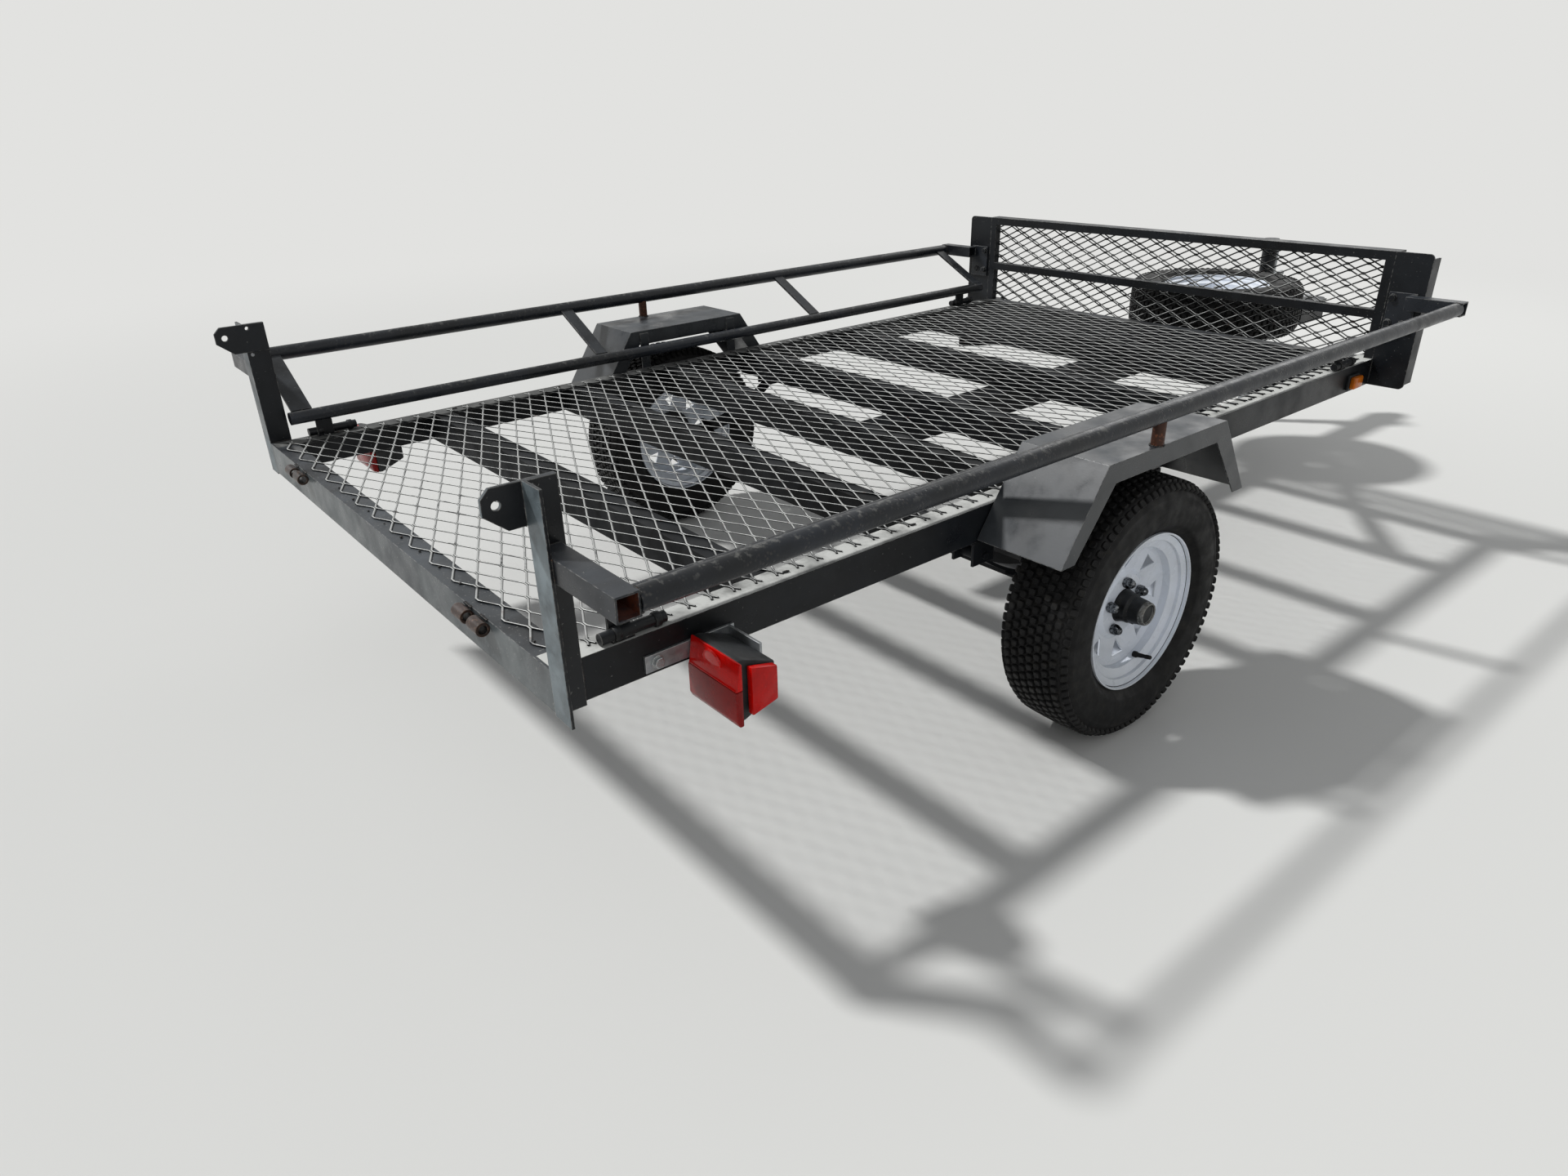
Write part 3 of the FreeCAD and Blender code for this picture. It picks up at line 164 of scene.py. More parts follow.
def shaded(made, **sockets):
    """End a finish with its shader.

    A socket's words are joined by underscores, and Roughness is what wandering takes.
    """
    tree = made.node_tree
    sockets["Roughness"] = wandering(tree, *sockets["Roughness"])
    shader = add(tree, "BsdfPrincipled", {word.replace("_", " "): value for word, value in sockets.items()})
    add(tree, "OutputMaterial", {"Surface": shader})
    return made


def together(tree, *masks):
    """One mask where several lie, by multiplying; numbers in brackets are those of patches."""
    amount, *others = (patches(tree, *mask) if isinstance(mask, tuple) else mask for mask in masks)
    for mask in others:
        amount = add(tree, "Math", {0: amount, 1: mask}, operation="MULTIPLY")
    return amount


def coats(tree, base, layers):
    """Colours laid over a base, each where all its masks lie."""
    tone = rgba(base)
    for colour, *masks in layers:
        tone = add(tree, "Mix", {"Factor": together(tree, *masks), 6: tone, 7: rgba(colour)},
                   data_type="RGBA")
    return tone


def patches(tree, size, low, high, most=1.0, detail=4.0):
    """Patches of a real size in metres, from 0 where the cloud is below low to most above high."""
    cloud = add(tree, "TexNoise", {"Vector": where(tree), "Scale": 1 / size, "Detail": detail,
                                   "Roughness": 0.6})
    return add(tree, "MapRange", {"Value": cloud, "From Min": low, "From Max": high, "To Max": most})


def wandering(tree, size, low, high, dusty=None):
    """A roughness that wanders from low to high in patches of a real size, and more where it is dusty, by a
    mask that in enamel is its coat of dust and painted sheen.
    """
    cloud = add(tree, "TexNoise", {"Vector": where(tree), "Scale": 1 / size, "Detail": 4.0})
    spread = add(tree, "MapRange", {"Value": cloud, "From Min": 0.35, "From Max": 0.68, "To Min": low,
                                    "To Max": high})
    if dusty:
        spread = add(tree, "Math", {0: dusty, 1: DUST_DULLS, 2: spread}, operation="MULTIPLY_ADD")
    return spread


def grain(tree, size, strength, depth, detail=2.0, normal=None, sunk=None):
    """Bumps of a real size and depth over some normals; sunk is a mask and how far it lies below."""
    height = add(tree, "TexNoise", {"Vector": where(tree), "Scale": 1 / size, "Detail": detail})
    if sunk:
        height = add(tree, "Math", {0: sunk[0], 1: -sunk[1], 2: height}, operation="MULTIPLY_ADD")
    inputs = {"Strength": strength, "Distance": depth, "Height": height}
    if normal:
        inputs["Normal"] = normal
    return add(tree, "Bump", inputs)


def edges_of(tree, radius):
    """Rounded normals, and a mask that is 1 along the solid's edges."""
    rounded = add(tree, "Bevel", {"Radius": radius}, samples=6)
    flat = add(tree, "NewGeometry").outputs["Normal"]
    likeness = add(tree, "VectorMath", {0: rounded, 1: flat}, operation="DOT_PRODUCT")
    return rounded, add(tree, "MapRange", {"Value": likeness, "From Min": 0.995, "From Max": 0.90})


def ramp(tree, which, axis, start, end, first=0.0, last=1.0):
    """A value from first to last as the place, or a face's normal, goes from start to end on an axis."""
    split = add(tree, "SeparateXYZ", {0: where(tree, which)})
    return add(tree, "MapRange", {"Value": split.outputs[axis], "From Min": start, "From Max": end,
                                  "To Min": first, "To Max": last})


# Finishes

def worn_enamel(name, paint=None, faded=None, bare=None, dust=None, gloss=0.34, wear=0.8, chips=0.66,
                dust_and_sheen_share=0.22, dust_and_sheen_from=0.36, rust_and_shade_inside=None, painted_rear_light=None, peel=0.2, sheen=0.22):
    """Sprayed enamel over steel: it fades in patches, chips at its edges and gathers dust on top, a light
    coat that also stands for painted sheen.
    """
    colours = bpy.context.scene.trailer_colours
    made, tree = new_finish(name)
    normal, edge_mask = edges_of(tree, 0.0022)
    # Wear follows the edges, broken up over 12 mm, and a few chips on the faces are 6 mm across
    along_edges = together(tree, edge_mask, (0.012, 0.42, 0.60, wear))
    on_faces = patches(tree, 0.006, chips, chips + 0.04, 0.5, 6.0)
    worn = add(tree, "Math", {0: along_edges, 1: on_faces}, operation="MAXIMUM")
    # A light coat on what faces up, in patches 9 cm across: dust, and painted sheen
    on_top = ramp(tree, "Normal", "Z", 0.35, 0.95)
    dusty = together(tree, on_top, (0.09, dust_and_sheen_from, dust_and_sheen_from + 0.34, dust_and_sheen_share))
    # The paint fades over a third of a metre, and in smaller blotches over 4 cm
    faded = faded or colours.faded_paint
    layers = [(faded, (0.33, 0.40, 0.66)), (faded, (0.04, 0.50, 0.72, 0.5)), (bare or colours.steel, worn)]
    if painted_rear_light:
        # The sun has bleached what faces the rear
        # Painted light: what faces the rear is painted lighter, standing for sunlight falling on it
        layers.insert(0, (painted_rear_light, ramp(tree, "Normal", "X", -0.55, -0.9), (0.11, 0.2, 0.5, 0.9)))
    if rust_and_shade_inside:
        # The hollows of the open ends at the rear take this colour: rust in the open tubes, and painted shade
        # in the hinge barrels' bores
        shelter = add(tree, "AmbientOcclusion", {"Distance": 0.04}, samples=6, only_local=True)
        deep = add(tree, "MapRange", {"Value": shelter.outputs["AO"], "From Min": 0.75, "From Max": 0.45})
        layers.append((rust_and_shade_inside, deep, (0.01, 0.25, 0.55),
                       ramp(tree, "Object", "X", BED_REAR + 0.2, BED_REAR + 0.4, 1.0, 0.0)))
    # The light coat on top: dust, and painted sheen
    layers.append((dust or colours.dust, dusty))
    # Orange peel of sprayed paint, drawn at 3 mm so that it shows, and sunk where it is worn
    return shaded(made, Base_Color=coats(tree, paint or colours.paint, layers),
                  Roughness=(0.06, gloss - 0.07, gloss + 0.12, dusty), Specular_IOR_Level=sheen,
                  Normal=grain(tree, 0.003, peel, 0.0004, normal=normal, sunk=(worn, 0.8)))


def pitted_rail_paint():
    """Brushed-on enamel over old pipe: thick, blue-black and pitted where rust lies under it."""
    made, tree = new_finish("pitted enamel on pipe")
    pits = add(tree, "TexVoronoi", {"Vector": where(tree), "Scale": 1 / 0.007})
    hollow = add(tree, "MapRange", {"Value": pits, "From Min": 0.10, "From Max": 0.42, "To Min": 1.0,
                                    "To Max": 0.0})
    pitted = together(tree, hollow, (0.05, 0.47, 0.62))
    # The top is scuffed to grey where loads were tied over it
    scuffed = patches(tree, 0.015, 0.55, 0.66, 0.7, 6.0)
    tone = coats(tree, "#0f1216", (("#1d222a", (0.20, 0.38, 0.66)),
                                   ("#45423f", pitted, (0.02, 0.2, 0.6, 0.7)),
                                   ("#6f6f6c", ramp(tree, "Normal", "Z", 0.35, 0.95), scuffed)))
    return shaded(made, Base_Color=tone, Roughness=(0.04, 0.26, 0.44), Specular_IOR_Level=0.32,
                  Normal=grain(tree, 0.009, 0.35, 0.0009, detail=3.0, sunk=(pitted, 1.4)))


def worn_expanded_steel(name, rust, rear_wear_and_light, front_wear_and_light, dull, sheen):
    """Dipped black mesh: its ridges that face up are painted light grey, for steel worn by loads and for
    sunlight, by a share along X that rises at its cut sides.
    """
    made, tree = new_finish(name)
    # Painted sunlight with wear: the share of light grey goes from the rear's to the front's over 1.5 m, and
    # ramps across Y raise it at the cut sides
    share = ramp(tree, "Object", "X", BED_REAR, BED_REAR + 1.5, rear_wear_and_light, front_wear_and_light)
    for start, end in ((BED_HALF - 0.055, BED_HALF - 0.04), (0.04 - BED_HALF, 0.055 - BED_HALF)):
        share = add(tree, "Math", {0: share, 1: ramp(tree, "Object", "Y", start, end)}, operation="MAXIMUM")
    worn_and_lit = together(tree, ramp(tree, "Normal", "Z", 0.2, 0.8), share, (0.035, 0.22, 0.45))
    tone = coats(tree, "#101113", (("#1f2124", (0.12, 0.4, 0.64)), ("#b3b4b2", worn_and_lit),
                                   (rust, (0.02, 0.64, 0.74, 0.45))))
    return shaded(made, Base_Color=tone, Metallic=together(tree, worn_and_lit, 0.4), Specular_IOR_Level=sheen,
                  Roughness=(0.01, dull, dull + 0.2), Normal=grain(tree, 0.0025, 0.25, 0.0004))


def vulcanised_rubber(rubber):
    """Moulded tyre rubber: matt black, browned and a little dusty."""
    made, tree = new_finish("vulcanised rubber")
    tone = coats(tree, rubber, (("#171717", (0.08, 0.4, 0.68)), ("#3a372f", (0.018, 0.52, 0.72, 0.2))))
    return shaded(made, Base_Color=tone, Roughness=(0.03, 0.52, 0.78), Specular_IOR_Level=0.2,
                  Normal=grain(tree, 0.002, 0.3, 0.0004, detail=3.0))


def zinc_coating(name, tint, dull_low, dull_high, spangle):
    """Dipped or plated zinc: grey crystals a few millimetres across, dulled by weather."""
    made, tree = new_finish(name)
    normal, edge_mask = edges_of(tree, 0.0015)
    crystals = add(tree, "TexVoronoi", {"Vector": where(tree), "Scale": 1 / spangle})
    grey = add(tree, "SeparateColor", {0: crystals.outputs["Color"]})
    tone = coats(tree, tint, (("#b9bcbc", grey, 0.35), ("#6d6a63", (0.03, 0.5, 0.7, 0.45)),
                              ("#c8c9c8", edge_mask, 0.4)))
    bump = add(tree, "Bump", {"Strength": 0.12, "Distance": 0.0003, "Height": grey, "Normal": normal})
    return shaded(made, Base_Color=tone, Metallic=0.85, Roughness=(0.015, dull_low, dull_high), Normal=bump)


def dark_chrome():
    """Plated lug nuts gone dark with brake dust, still bright on their domes."""
    made, tree = new_finish("dark chrome plate")
    return shaded(made, Base_Color=coats(tree, "#35373a", (("#85888b", (0.006, 0.45, 0.62)),)),
                  Metallic=1.0, Roughness=(0.004, 0.18, 0.42))


def lens_acrylic(name, colour, deep):
    """Clear dyed acrylic: a polished outside over moulded prisms that break up the light."""
    made, tree = new_finish(name)
    # Prisms stand 4 mm apart behind the face
    prisms = add(tree, "TexVoronoi", {"Vector": where(tree), "Scale": 1 / 0.004, "Randomness": 0.15},
                 distance="CHEBYCHEV")
    shade = add(tree, "MapRange", {"Value": prisms, "From Min": 0.1, "From Max": 0.6, "To Max": 0.5})
    tone = coats(tree, colour, ((deep, shade), (deep, (0.03, 0.45, 0.7, 0.35))))
    bump = add(tree, "Bump", {"Strength": 0.35, "Distance": 0.0006, "Height": shade})
    return shaded(made, Base_Color=tone, Roughness=(0.02, 0.16, 0.30), Normal=bump, IOR=1.49,
                  Specular_IOR_Level=0.14, Subsurface_Weight=0.15, Subsurface_Radius=(0.01, 0.002, 0.001),
                  Coat_Weight=0.14, Coat_Roughness=0.06)


def moulded_plastic():
    """Injection-moulded black housing, greyed by the sun, with a fine spark-eroded grain."""
    made, tree = new_finish("moulded black plastic")
    normal, edge_mask = edges_of(tree, 0.0015)
    tone = coats(tree, "#161718", (("#2b2d2f", (0.05, 0.35, 0.7)), ("#505254", edge_mask, 0.3)))
    return shaded(made, Base_Color=tone, Roughness=(0.02, 0.42, 0.60), Specular_IOR_Level=0.3,
                  Normal=grain(tree, 0.0015, 0.2, 0.0002, normal=normal))


def painted_weld():
    """Weld metal under paint that never took well: rough, brown at its toes."""
    made, tree = new_finish("painted weld bead")
    tone = coats(tree, "#121314", (("#2c2a28", (0.012, 0.42, 0.62)), ("#5b3f2f", (0.006, 0.58, 0.68, 0.6))))
    return shaded(made, Base_Color=tone, Roughness=(0.005, 0.30, 0.6), Specular_IOR_Level=0.3)


FINISHES = {}


def make_finishes(colours):
    """Make every finish; enamel takes the panel's colours where it is given none."""
    FINISHES.update({
        "frame": worn_enamel("black enamel"),
        # The loading end is painted a lighter black, and lighter still on its rear face: painted sunlight
        # over real wear
        "rear": worn_enamel("black enamel at the loading end with painted sunlight", "#16181b", "#2b3035", wear=1.0, chips=0.62,
                            dust_and_sheen_share=0.3, sheen=0.4, painted_rear_light="#5d6364"),
        # The side rails' tops are painted almost white on the near rail and light grey on the far one:
        # painted sunlight and sheen over dust
        "rail": worn_enamel("black enamel with painted sunlight on top", dust="#c9cac6", dust_and_sheen_share=1.0, dust_and_sheen_from=0.18),
        "far rail": worn_enamel("black enamel with painted sheen on top", dust="#a9aaa7", dust_and_sheen_share=0.5),
        # The rear post's rear face is painted lighter: painted sunlight
        "post": worn_enamel("black enamel with painted light on its rear face", wear=0.9, sheen=0.3, painted_rear_light="#7d898e"),
        "tubes": worn_enamel("black enamel on open tube", "#111317", "#22262c", rust_and_shade_inside=colours.rust,
                             sheen=0.35),
        # The hinge barrels' bores are painted near black: painted shade
        "barrel": worn_enamel("browned hinge barrel", "#1b1310", "#3a271e", "#7c5f4b", wear=1.0, chips=0.58,
                              sheen=0.4, rust_and_shade_inside="#0a0807"),
        "fender": worn_enamel("graphite enamel on fender sheet", "#1d2023", "#2c3034", gloss=0.30, chips=0.70,
                              dust_and_sheen_share=0.25, peel=0.1, sheen=0.55),
        "stub": worn_enamel("rusted stub", "#241813", "#4b2d1f", "#7a4a32", gloss=0.5, wear=1.0, chips=0.56),
        "under": worn_enamel("road-dirtied enamel", "#0b0c0d", "#15171a", "#3c3a37", gloss=0.52, wear=0.5,
                             chips=0.70, dust_and_sheen_share=0.05, sheen=0.12),
        "rim": worn_enamel("white wheel enamel", colours.rim, "#d3d8de", "#a5a6a5", gloss=0.26, wear=0.25,
                           chips=0.74, dust_and_sheen_share=0.1, peel=0.08, sheen=0.5),
        "hub": worn_enamel("satin black hub", "#0d0e0f", "#191a1c", "#5c5a57", gloss=0.40, wear=0.6),
        "pipe": pitted_rail_paint(),
        "floor mesh": worn_expanded_steel("worn expanded steel with painted sunlight", colours.rust, 0.85, 0.04, 0.46, 0.07),
        "head mesh": worn_expanded_steel("black expanded steel", colours.rust, 0.02, 0.02, 0.68, 0.03),
        "rubber": vulcanised_rubber(colours.rubber),
        "zinc": zinc_coating("galvanised steel", "#92969a", 0.34, 0.55, 0.009),
        "bright": zinc_coating("zinc plated steel", "#a3a6a8", 0.22, 0.42, 0.004),
        "dusty": zinc_coating("brake-dusted steel", "#4c4b49", 0.42, 0.60, 0.004),
        "nut": dark_chrome(),
        "red": lens_acrylic("red acrylic", colours.red, "#7a0403"),
        # The lower half of the rear lens is a darker red: painted shade
        "painted shade red": lens_acrylic("red acrylic with painted shade", "#8e0805", "#3a0202"),
        "amber": lens_acrylic("amber acrylic", colours.amber, "#7a3304"),
        "plastic": moulded_plastic(),
        "weld": painted_weld(),
    })


# How the names of the solids start, and their finish; the rest are black enamel
NODE_FINISHES = {
    "rear_crossmember": "rear", "side_rail_right": "rail", "side_rail_left": "far rail", "rear_post": "post",
    "outriggers": "tubes", "outer_rail": "pipe", "inner_rail": "pipe", "gate_barrels": "barrel",
    "fender": "fender", "fender_stub": "stub", "axle_beam": "under", "leaf_springs": "under",
    "spring_clamps": "under", "spring_hangers": "under", "floor_crossmembers": "under", "tongue": "under",
    "floor_mesh": "floor mesh", "headboard_mesh": "head mesh", "tyre": "rubber", "spare_tyre": "rubber",
    "rim": "rim", "spare_rim": "rim", "hub": "hub", "jack": "zinc", "jack_housing": "frame",
    "lamp_brackets": "zinc", "coupler_latch": "zinc", "spare_carrier": "zinc", "tail_lenses": "red",
    "tail_lamps": "plastic", "side_markers": "amber",
}


def finish_of(node):
    """The finish of the longest start that a solid's name has."""
    starts = [start for start in NODE_FINISHES if node.startswith(start)]
    return FINISHES[NODE_FINISHES[max(starts, key=len)] if starts else "frame"]


def wear(piece, finish):
    """Give every face of a piece one finish."""
    piece.data.materials.clear()
    piece.data.materials.append(finish)


# Meshes

def as_object(name, mesh):
    made = bpy.data.objects.new(name, mesh)
    bpy.context.scene.collection.objects.link(made)
    return made


def closed(shape, name, sharp=35):
    """Turn a bmesh into an object with outward faces, smooth but for its sharp edges."""
    bmesh.ops.remove_doubles(shape, verts=shape.verts, dist=1e-6)
    bmesh.ops.recalc_face_normals(shape, faces=shape.faces)
    for face in shape.faces:
        face.smooth = True
    for edge in shape.edges:
        edge.smooth = edge.calc_face_angle(0) < math.radians(sharp)
    mesh = bpy.data.meshes.new(name)
    shape.to_mesh(mesh)
    shape.free()
    return as_object(name, mesh)


def merged(name, pieces):
    """Join finished pieces into one mesh and remove them."""
    shape = bmesh.new()
    finishes = []
    for piece in pieces:
        own = list(piece.data.materials)
        finishes += [finish for finish in own if finish not in finishes]
        start = len(shape.faces)
        shape.from_mesh(piece.data)
        shape.faces.ensure_lookup_table()
        for face in shape.faces[start:]:
            face.material_index = finishes.index(own[face.material_index])
        bpy.data.objects.remove(piece)
    mesh = bpy.data.meshes.new(name)
    shape.to_mesh(mesh)
    shape.free()
    for slot in finishes:
        mesh.materials.append(slot)
    return as_object(name, mesh)


def polar(radius, turn):
    """A point of a circle about its middle."""
    return radius * math.cos(turn), radius * math.sin(turn)


def skin(shape, rings, loop=False, capped=False):
    """Join rings of points with faces; a ring of one point is a tip."""
    rings = [[shape.verts.new(point) for point in ring] for ring in rings]
    for near, far in zip(rings, rings[1:] + (rings[:1] if loop else [])):
        for step in range(max(len(near), len(far))):
            corners = (near[step % len(near)], near[(step + 1) % len(near)],
                       far[(step + 1) % len(far)], far[step % len(far)])
            shape.faces.new(list(dict.fromkeys(corners)))
    if capped:
        shape.faces.new(rings[0][::-1])
        shape.faces.new(rings[-1])


def skinned(name, rings, sharp, **ends):
    """An object of rings of points."""
    shape = bmesh.new()
    skin(shape, rings, **ends)
    return closed(shape, name, sharp)


def lathe(name, profile, steps, loop=True, sharp=35):
    """Turn a profile of (along Y, radius) points about the Y axis."""
    rings = []
    for along, radius in profile:
        points = [polar(radius, 2 * math.pi * step / steps) for step in range(steps if radius else 1)]
        rings.append([(x, along, z) for x, z in points])
    return skinned(name, rings, sharp, loop=loop)


def extruded(name, outline, start, reach, bevel, segments=2):
    """An outline of (X, Z) points over a start, pushed along Y, with its edges rounded."""
    shape = bmesh.new()
    skin(shape, [[Vector(start) + Vector((x, y, z)) for x, z in outline] for y in (0, reach)], capped=True)
    bmesh.ops.recalc_face_normals(shape, faces=shape.faces)
    bmesh.ops.bevel(shape, geom=list(shape.edges), offset=bevel, segments=segments, affect="EDGES",
                    profile=0.5, clamp_overlap=True)
    return closed(shape, name)


# A hexagon's distance to its flats, as a share of that to its corners
FLATS = math.cos(math.pi / 6)


def hexagons(layers):
    """Rings of twelve points about Z, from (height, radius, whether it is a hexagon)."""
    rings = []
    for up, radius, flat in layers:
        reaches = [radius * (FLATS if flat and step % 2 else 1) for step in range(12)]
        rings.append([(*polar(reach, math.pi * step / 6), up) for step, reach in enumerate(reaches)])
    return rings


def acorn_nut(name, across, height):
    """A domed nut about Z, its six flats running out into the dome."""
    flat = across / 2
    corner = flat / FLATS
    rings = hexagons(((0.0, corner * 0.96, True), (0.10 * height, corner, True),
                      (0.50 * height, corner, True), (0.58 * height, flat * 0.99, False),
                      (0.78 * height, flat * 0.86, False), (0.93 * height, flat * 0.52, False)))
    return skinned(name, [[(0, 0, 0)], *rings, [(0, 0, height)]], 25)


def hex_bolt(name, across, height):
    """A hexagon head on its washer, chamfered round its top, about Z."""
    washer = 0.0016
    corner = across / 2 / FLATS
    rings = hexagons(((0.0, corner * 1.18, False), (washer, corner * 1.18, False), (washer, corner, True),
                      (washer + height * 0.85, corner, True), (washer + height, corner * 0.86, False)))
    return skinned(name, rings, 25, capped=True)


def tread_block(name, side, depth):
    """A rounded square block, its top edge softened, about Z from 0 up."""
    rings = []
    for up, reach in ((-0.003, side / 2), (depth * 0.72, side / 2 * 0.97), (depth, side / 2 * 0.80)):
        ring = []
        for step in range(12):
            turn = 2 * math.pi * (step + 0.5) / 12
            squared = (abs(math.cos(turn)) ** 4 + abs(math.sin(turn)) ** 4) ** -0.25
            ring.append((*polar(reach * squared, turn), up))
        rings.append(ring)
    return skinned(name, rings, 40, capped=True)


def weld_ripple(name, width):
    """One ripple of a weld bead: a low dome, longer across the bead than along it."""
    shape = bmesh.new()
    bmesh.ops.create_icosphere(shape, subdivisions=1, radius=0.5,
                               matrix=Matrix.Diagonal((width * 0.9, width, width * 0.62, 1)))
    return closed(shape, name, 80)


# Geometry node trees

def new_tree(name, inputs):
    """A geometry tree with named inputs; returns it with its input node's sockets."""
    old = bpy.data.node_groups.get(name)
    if old:
        bpy.data.node_groups.remove(old)
    tree = bpy.data.node_groups.new(name, "GeometryNodeTree")
    tree.interface.new_socket("Geometry", in_out="INPUT", socket_type="NodeSocketGeometry")
    for word, kind in inputs:
        tree.interface.new_socket(word, in_out="INPUT", socket_type="NodeSocket" + kind)
    tree.interface.new_socket("Geometry", in_out="OUTPUT", socket_type="NodeSocketGeometry")
    return tree, add(tree, "NodeGroupInput").outputs


def end_tree(tree, geometry, finish):
    """Realize the instances, set the material and hand the geometry out."""
    real = add(tree, "RealizeInstances", {"Geometry": geometry})
    painted = add(tree, "SetMaterial", {"Geometry": real, "Material": finish})
    add(tree, "NodeGroupOutput", {"Geometry": painted})
    return tree


def strands_tree():
    """A flat strand swept along the source's zigzag, and repeated at even steps along X."""
    tree, given = new_tree("strands of expanded metal", (
        ("Strand width", "Float"), ("Strand thickness", "Float"), ("Lean", "Float"), ("Count", "Int"),
        ("First", "Vector"), ("Step", "Vector"), ("Material", "Material")))
    curve = add(tree, "MeshToCurve", {"Mesh": given["Geometry"]})
    upright = add(tree, "SetCurveNormal", {"Curve": curve}, mode="Z_UP")
    tilted = add(tree, "SetCurveTilt", {"Curve": upright, "Tilt": given["Lean"]})
    section = add(tree, "CurvePrimitiveQuadrilateral", {"Width": given["Strand width"],
                                                        "Height": given["Strand thickness"]})
    strand = add(tree, "CurveToMesh", {"Curve": tilted, "Profile Curve": section, "Fill Caps": True})
    places = add(tree, "MeshLine", {"Count": given["Count"], "Start Location": given["First"],
                                    "Offset": given["Step"]}, mode="OFFSET")
    strands = add(tree, "InstanceOnPoints", {"Points": places, "Instance": strand})
    return end_tree(tree, strands, given["Material"])


def parts_tree():
    """One part on every point of the source, turned as the point says and a little uneven in size."""
    tree, given = new_tree("parts at points", (("Part", "Object"), ("Least", "Float"), ("Most", "Float"),
                                               ("Seed", "Int"), ("Material", "Material")))
    turn = add(tree, "InputNamedAttribute", {"Name": "turn"}, data_type="FLOAT_VECTOR")
    rotation = add(tree, "FunctionNodeEulerToRotation", {0: turn})
    size = add(tree, "FunctionNodeRandomValue", {2: given["Least"], 3: given["Most"], "Seed": given["Seed"]},
               data_type="FLOAT")
    part = add(tree, "ObjectInfo", {"Object": given["Part"]}, transform_space="ORIGINAL")
    placed = add(tree, "InstanceOnPoints", {"Points": given["Geometry"], "Instance": part.outputs["Geometry"],
                                            "Rotation": rotation, "Scale": size})
    return end_tree(tree, placed, given["Material"])


def grow(name, tree, inputs, source):
    """Run a tree on a source object and keep the result as a plain mesh at the origin."""
    modifier = source.modifiers.new("grow", "NODES")
    modifier.node_group = tree
    sockets = {item.name: item.identifier for item in tree.interface.items_tree
               if item.item_type == "SOCKET" and item.in_out == "INPUT"}
    for word, value in inputs.items():
        modifier[sockets[word]] = value
    source.data.update()
    mesh = bpy.data.meshes.new_from_object(source.evaluated_get(bpy.context.evaluated_depsgraph_get()))
    source.modifiers.remove(modifier)
    bpy.data.objects.remove(source)
    mesh.name = name
    return as_object(name, mesh)


def line_source(points):
    """A mesh of one open line."""
    mesh = bpy.data.meshes.new("line")
    mesh.from_pydata(points, [(step, step + 1) for step in range(len(points) - 1)], [])
    return as_object("line", mesh)


def parts_at(name, part, places, finish, least=1.0, most=1.0, seed=1):
    """A copy of a part at every place, each place a point and the turn of the part there."""
    mesh = bpy.data.meshes.new("places")
    mesh.from_pydata([tuple(point) for point, _ in places], [], [])
    turns = mesh.attributes.new("turn", "FLOAT_VECTOR", "POINT")
    for number, (_, turn) in enumerate(places):
        turns.data[number].vector = turn
    return grow(name, parts_tree(), {"Part": part, "Least": least, "Most": most, "Seed": seed,
                                     "Material": finish}, as_object("places", mesh))


def standing(direction):
    """The turn of a part whose own Z points along a direction."""
    return Vector(direction).to_track_quat("Z", "Y").to_euler()


def dress(piece, replaced=(), body="frame"):
    """Let a finished piece ride on its body and stand for the nodes that it replaces."""
    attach(piece, body)
    if replaced:
        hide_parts(*replaced)


# Pieces

class TRAILER_OT_paint(bpy.types.Operator):
    """Paint the trailer's steel, rubber and plastic"""
    bl_idname = "trailer.paint"
    bl_label = "Paint the pieces"

    def execute(self, context):
        make_finishes(context.scene.trailer_colours)
        for name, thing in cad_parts.items():
            wear(thing, finish_of(name))
        return {"FINISHED"}


def zigzag(half_width, half_long, bond, swing, phase):
    """One strand across a sheet: level at its knuckles, slanting from each to the next."""
    first = math.ceil(half_width / half_long)
    crossings = [knuckle * half_long + end * bond / 2
                 for knuckle in range(-first, first + 1) for end in (-1, 1)]
    inside = [across for across in crossings if abs(across) < half_width]
    points = []
    for across in (-half_width, *inside, half_width):
        nearest = round(across / half_long)
        slanting = max(0.0, abs(across - nearest * half_long) - bond / 2) / (half_long - bond) * 2
        side = 1 if (nearest + phase) % 2 == 0 else -1
        points.append((side * swing * (1 - slanting), across, 0))
    return points


def expanded_metal(name, length, width, sizes, lean, finish):
    """A sheet about the origin: rows of strands, each row meeting the next at its knuckles."""
    pairs = round(length / sizes.diamond_short)
    step = length / pairs
    swing = (step / 2 - sizes.strand_width) / 2
    rows = []
    for phase in (0, 1):
        path = zigzag(width / 2, sizes.diamond_long / 2, sizes.bond_length, swing, phase)
        rows.append(grow("row", strands_tree(), {
            "Strand width": sizes.strand_width, "Strand thickness": sizes.strand_thickness,
            "Lean": math.radians(lean), "Count": pairs, "Step": (step, 0, 0),
            "First": (-length / 2 + step * (0.25 + phase / 2), 0, 0), "Material": finish}, line_source(path)))
    return merged(name, rows)


# Expanded metal: the lean of its strands in degrees, how deep a leaning strand is, and how far the
# headboard's sheets end below the top of the frame and of the headboard
FLOOR_LEAN, HEAD_LEAN = 24, 20
STRAND_DEPTH = 0.0034
REAR_MARGIN, FRONT_MARGIN = 0.026, 0.0005


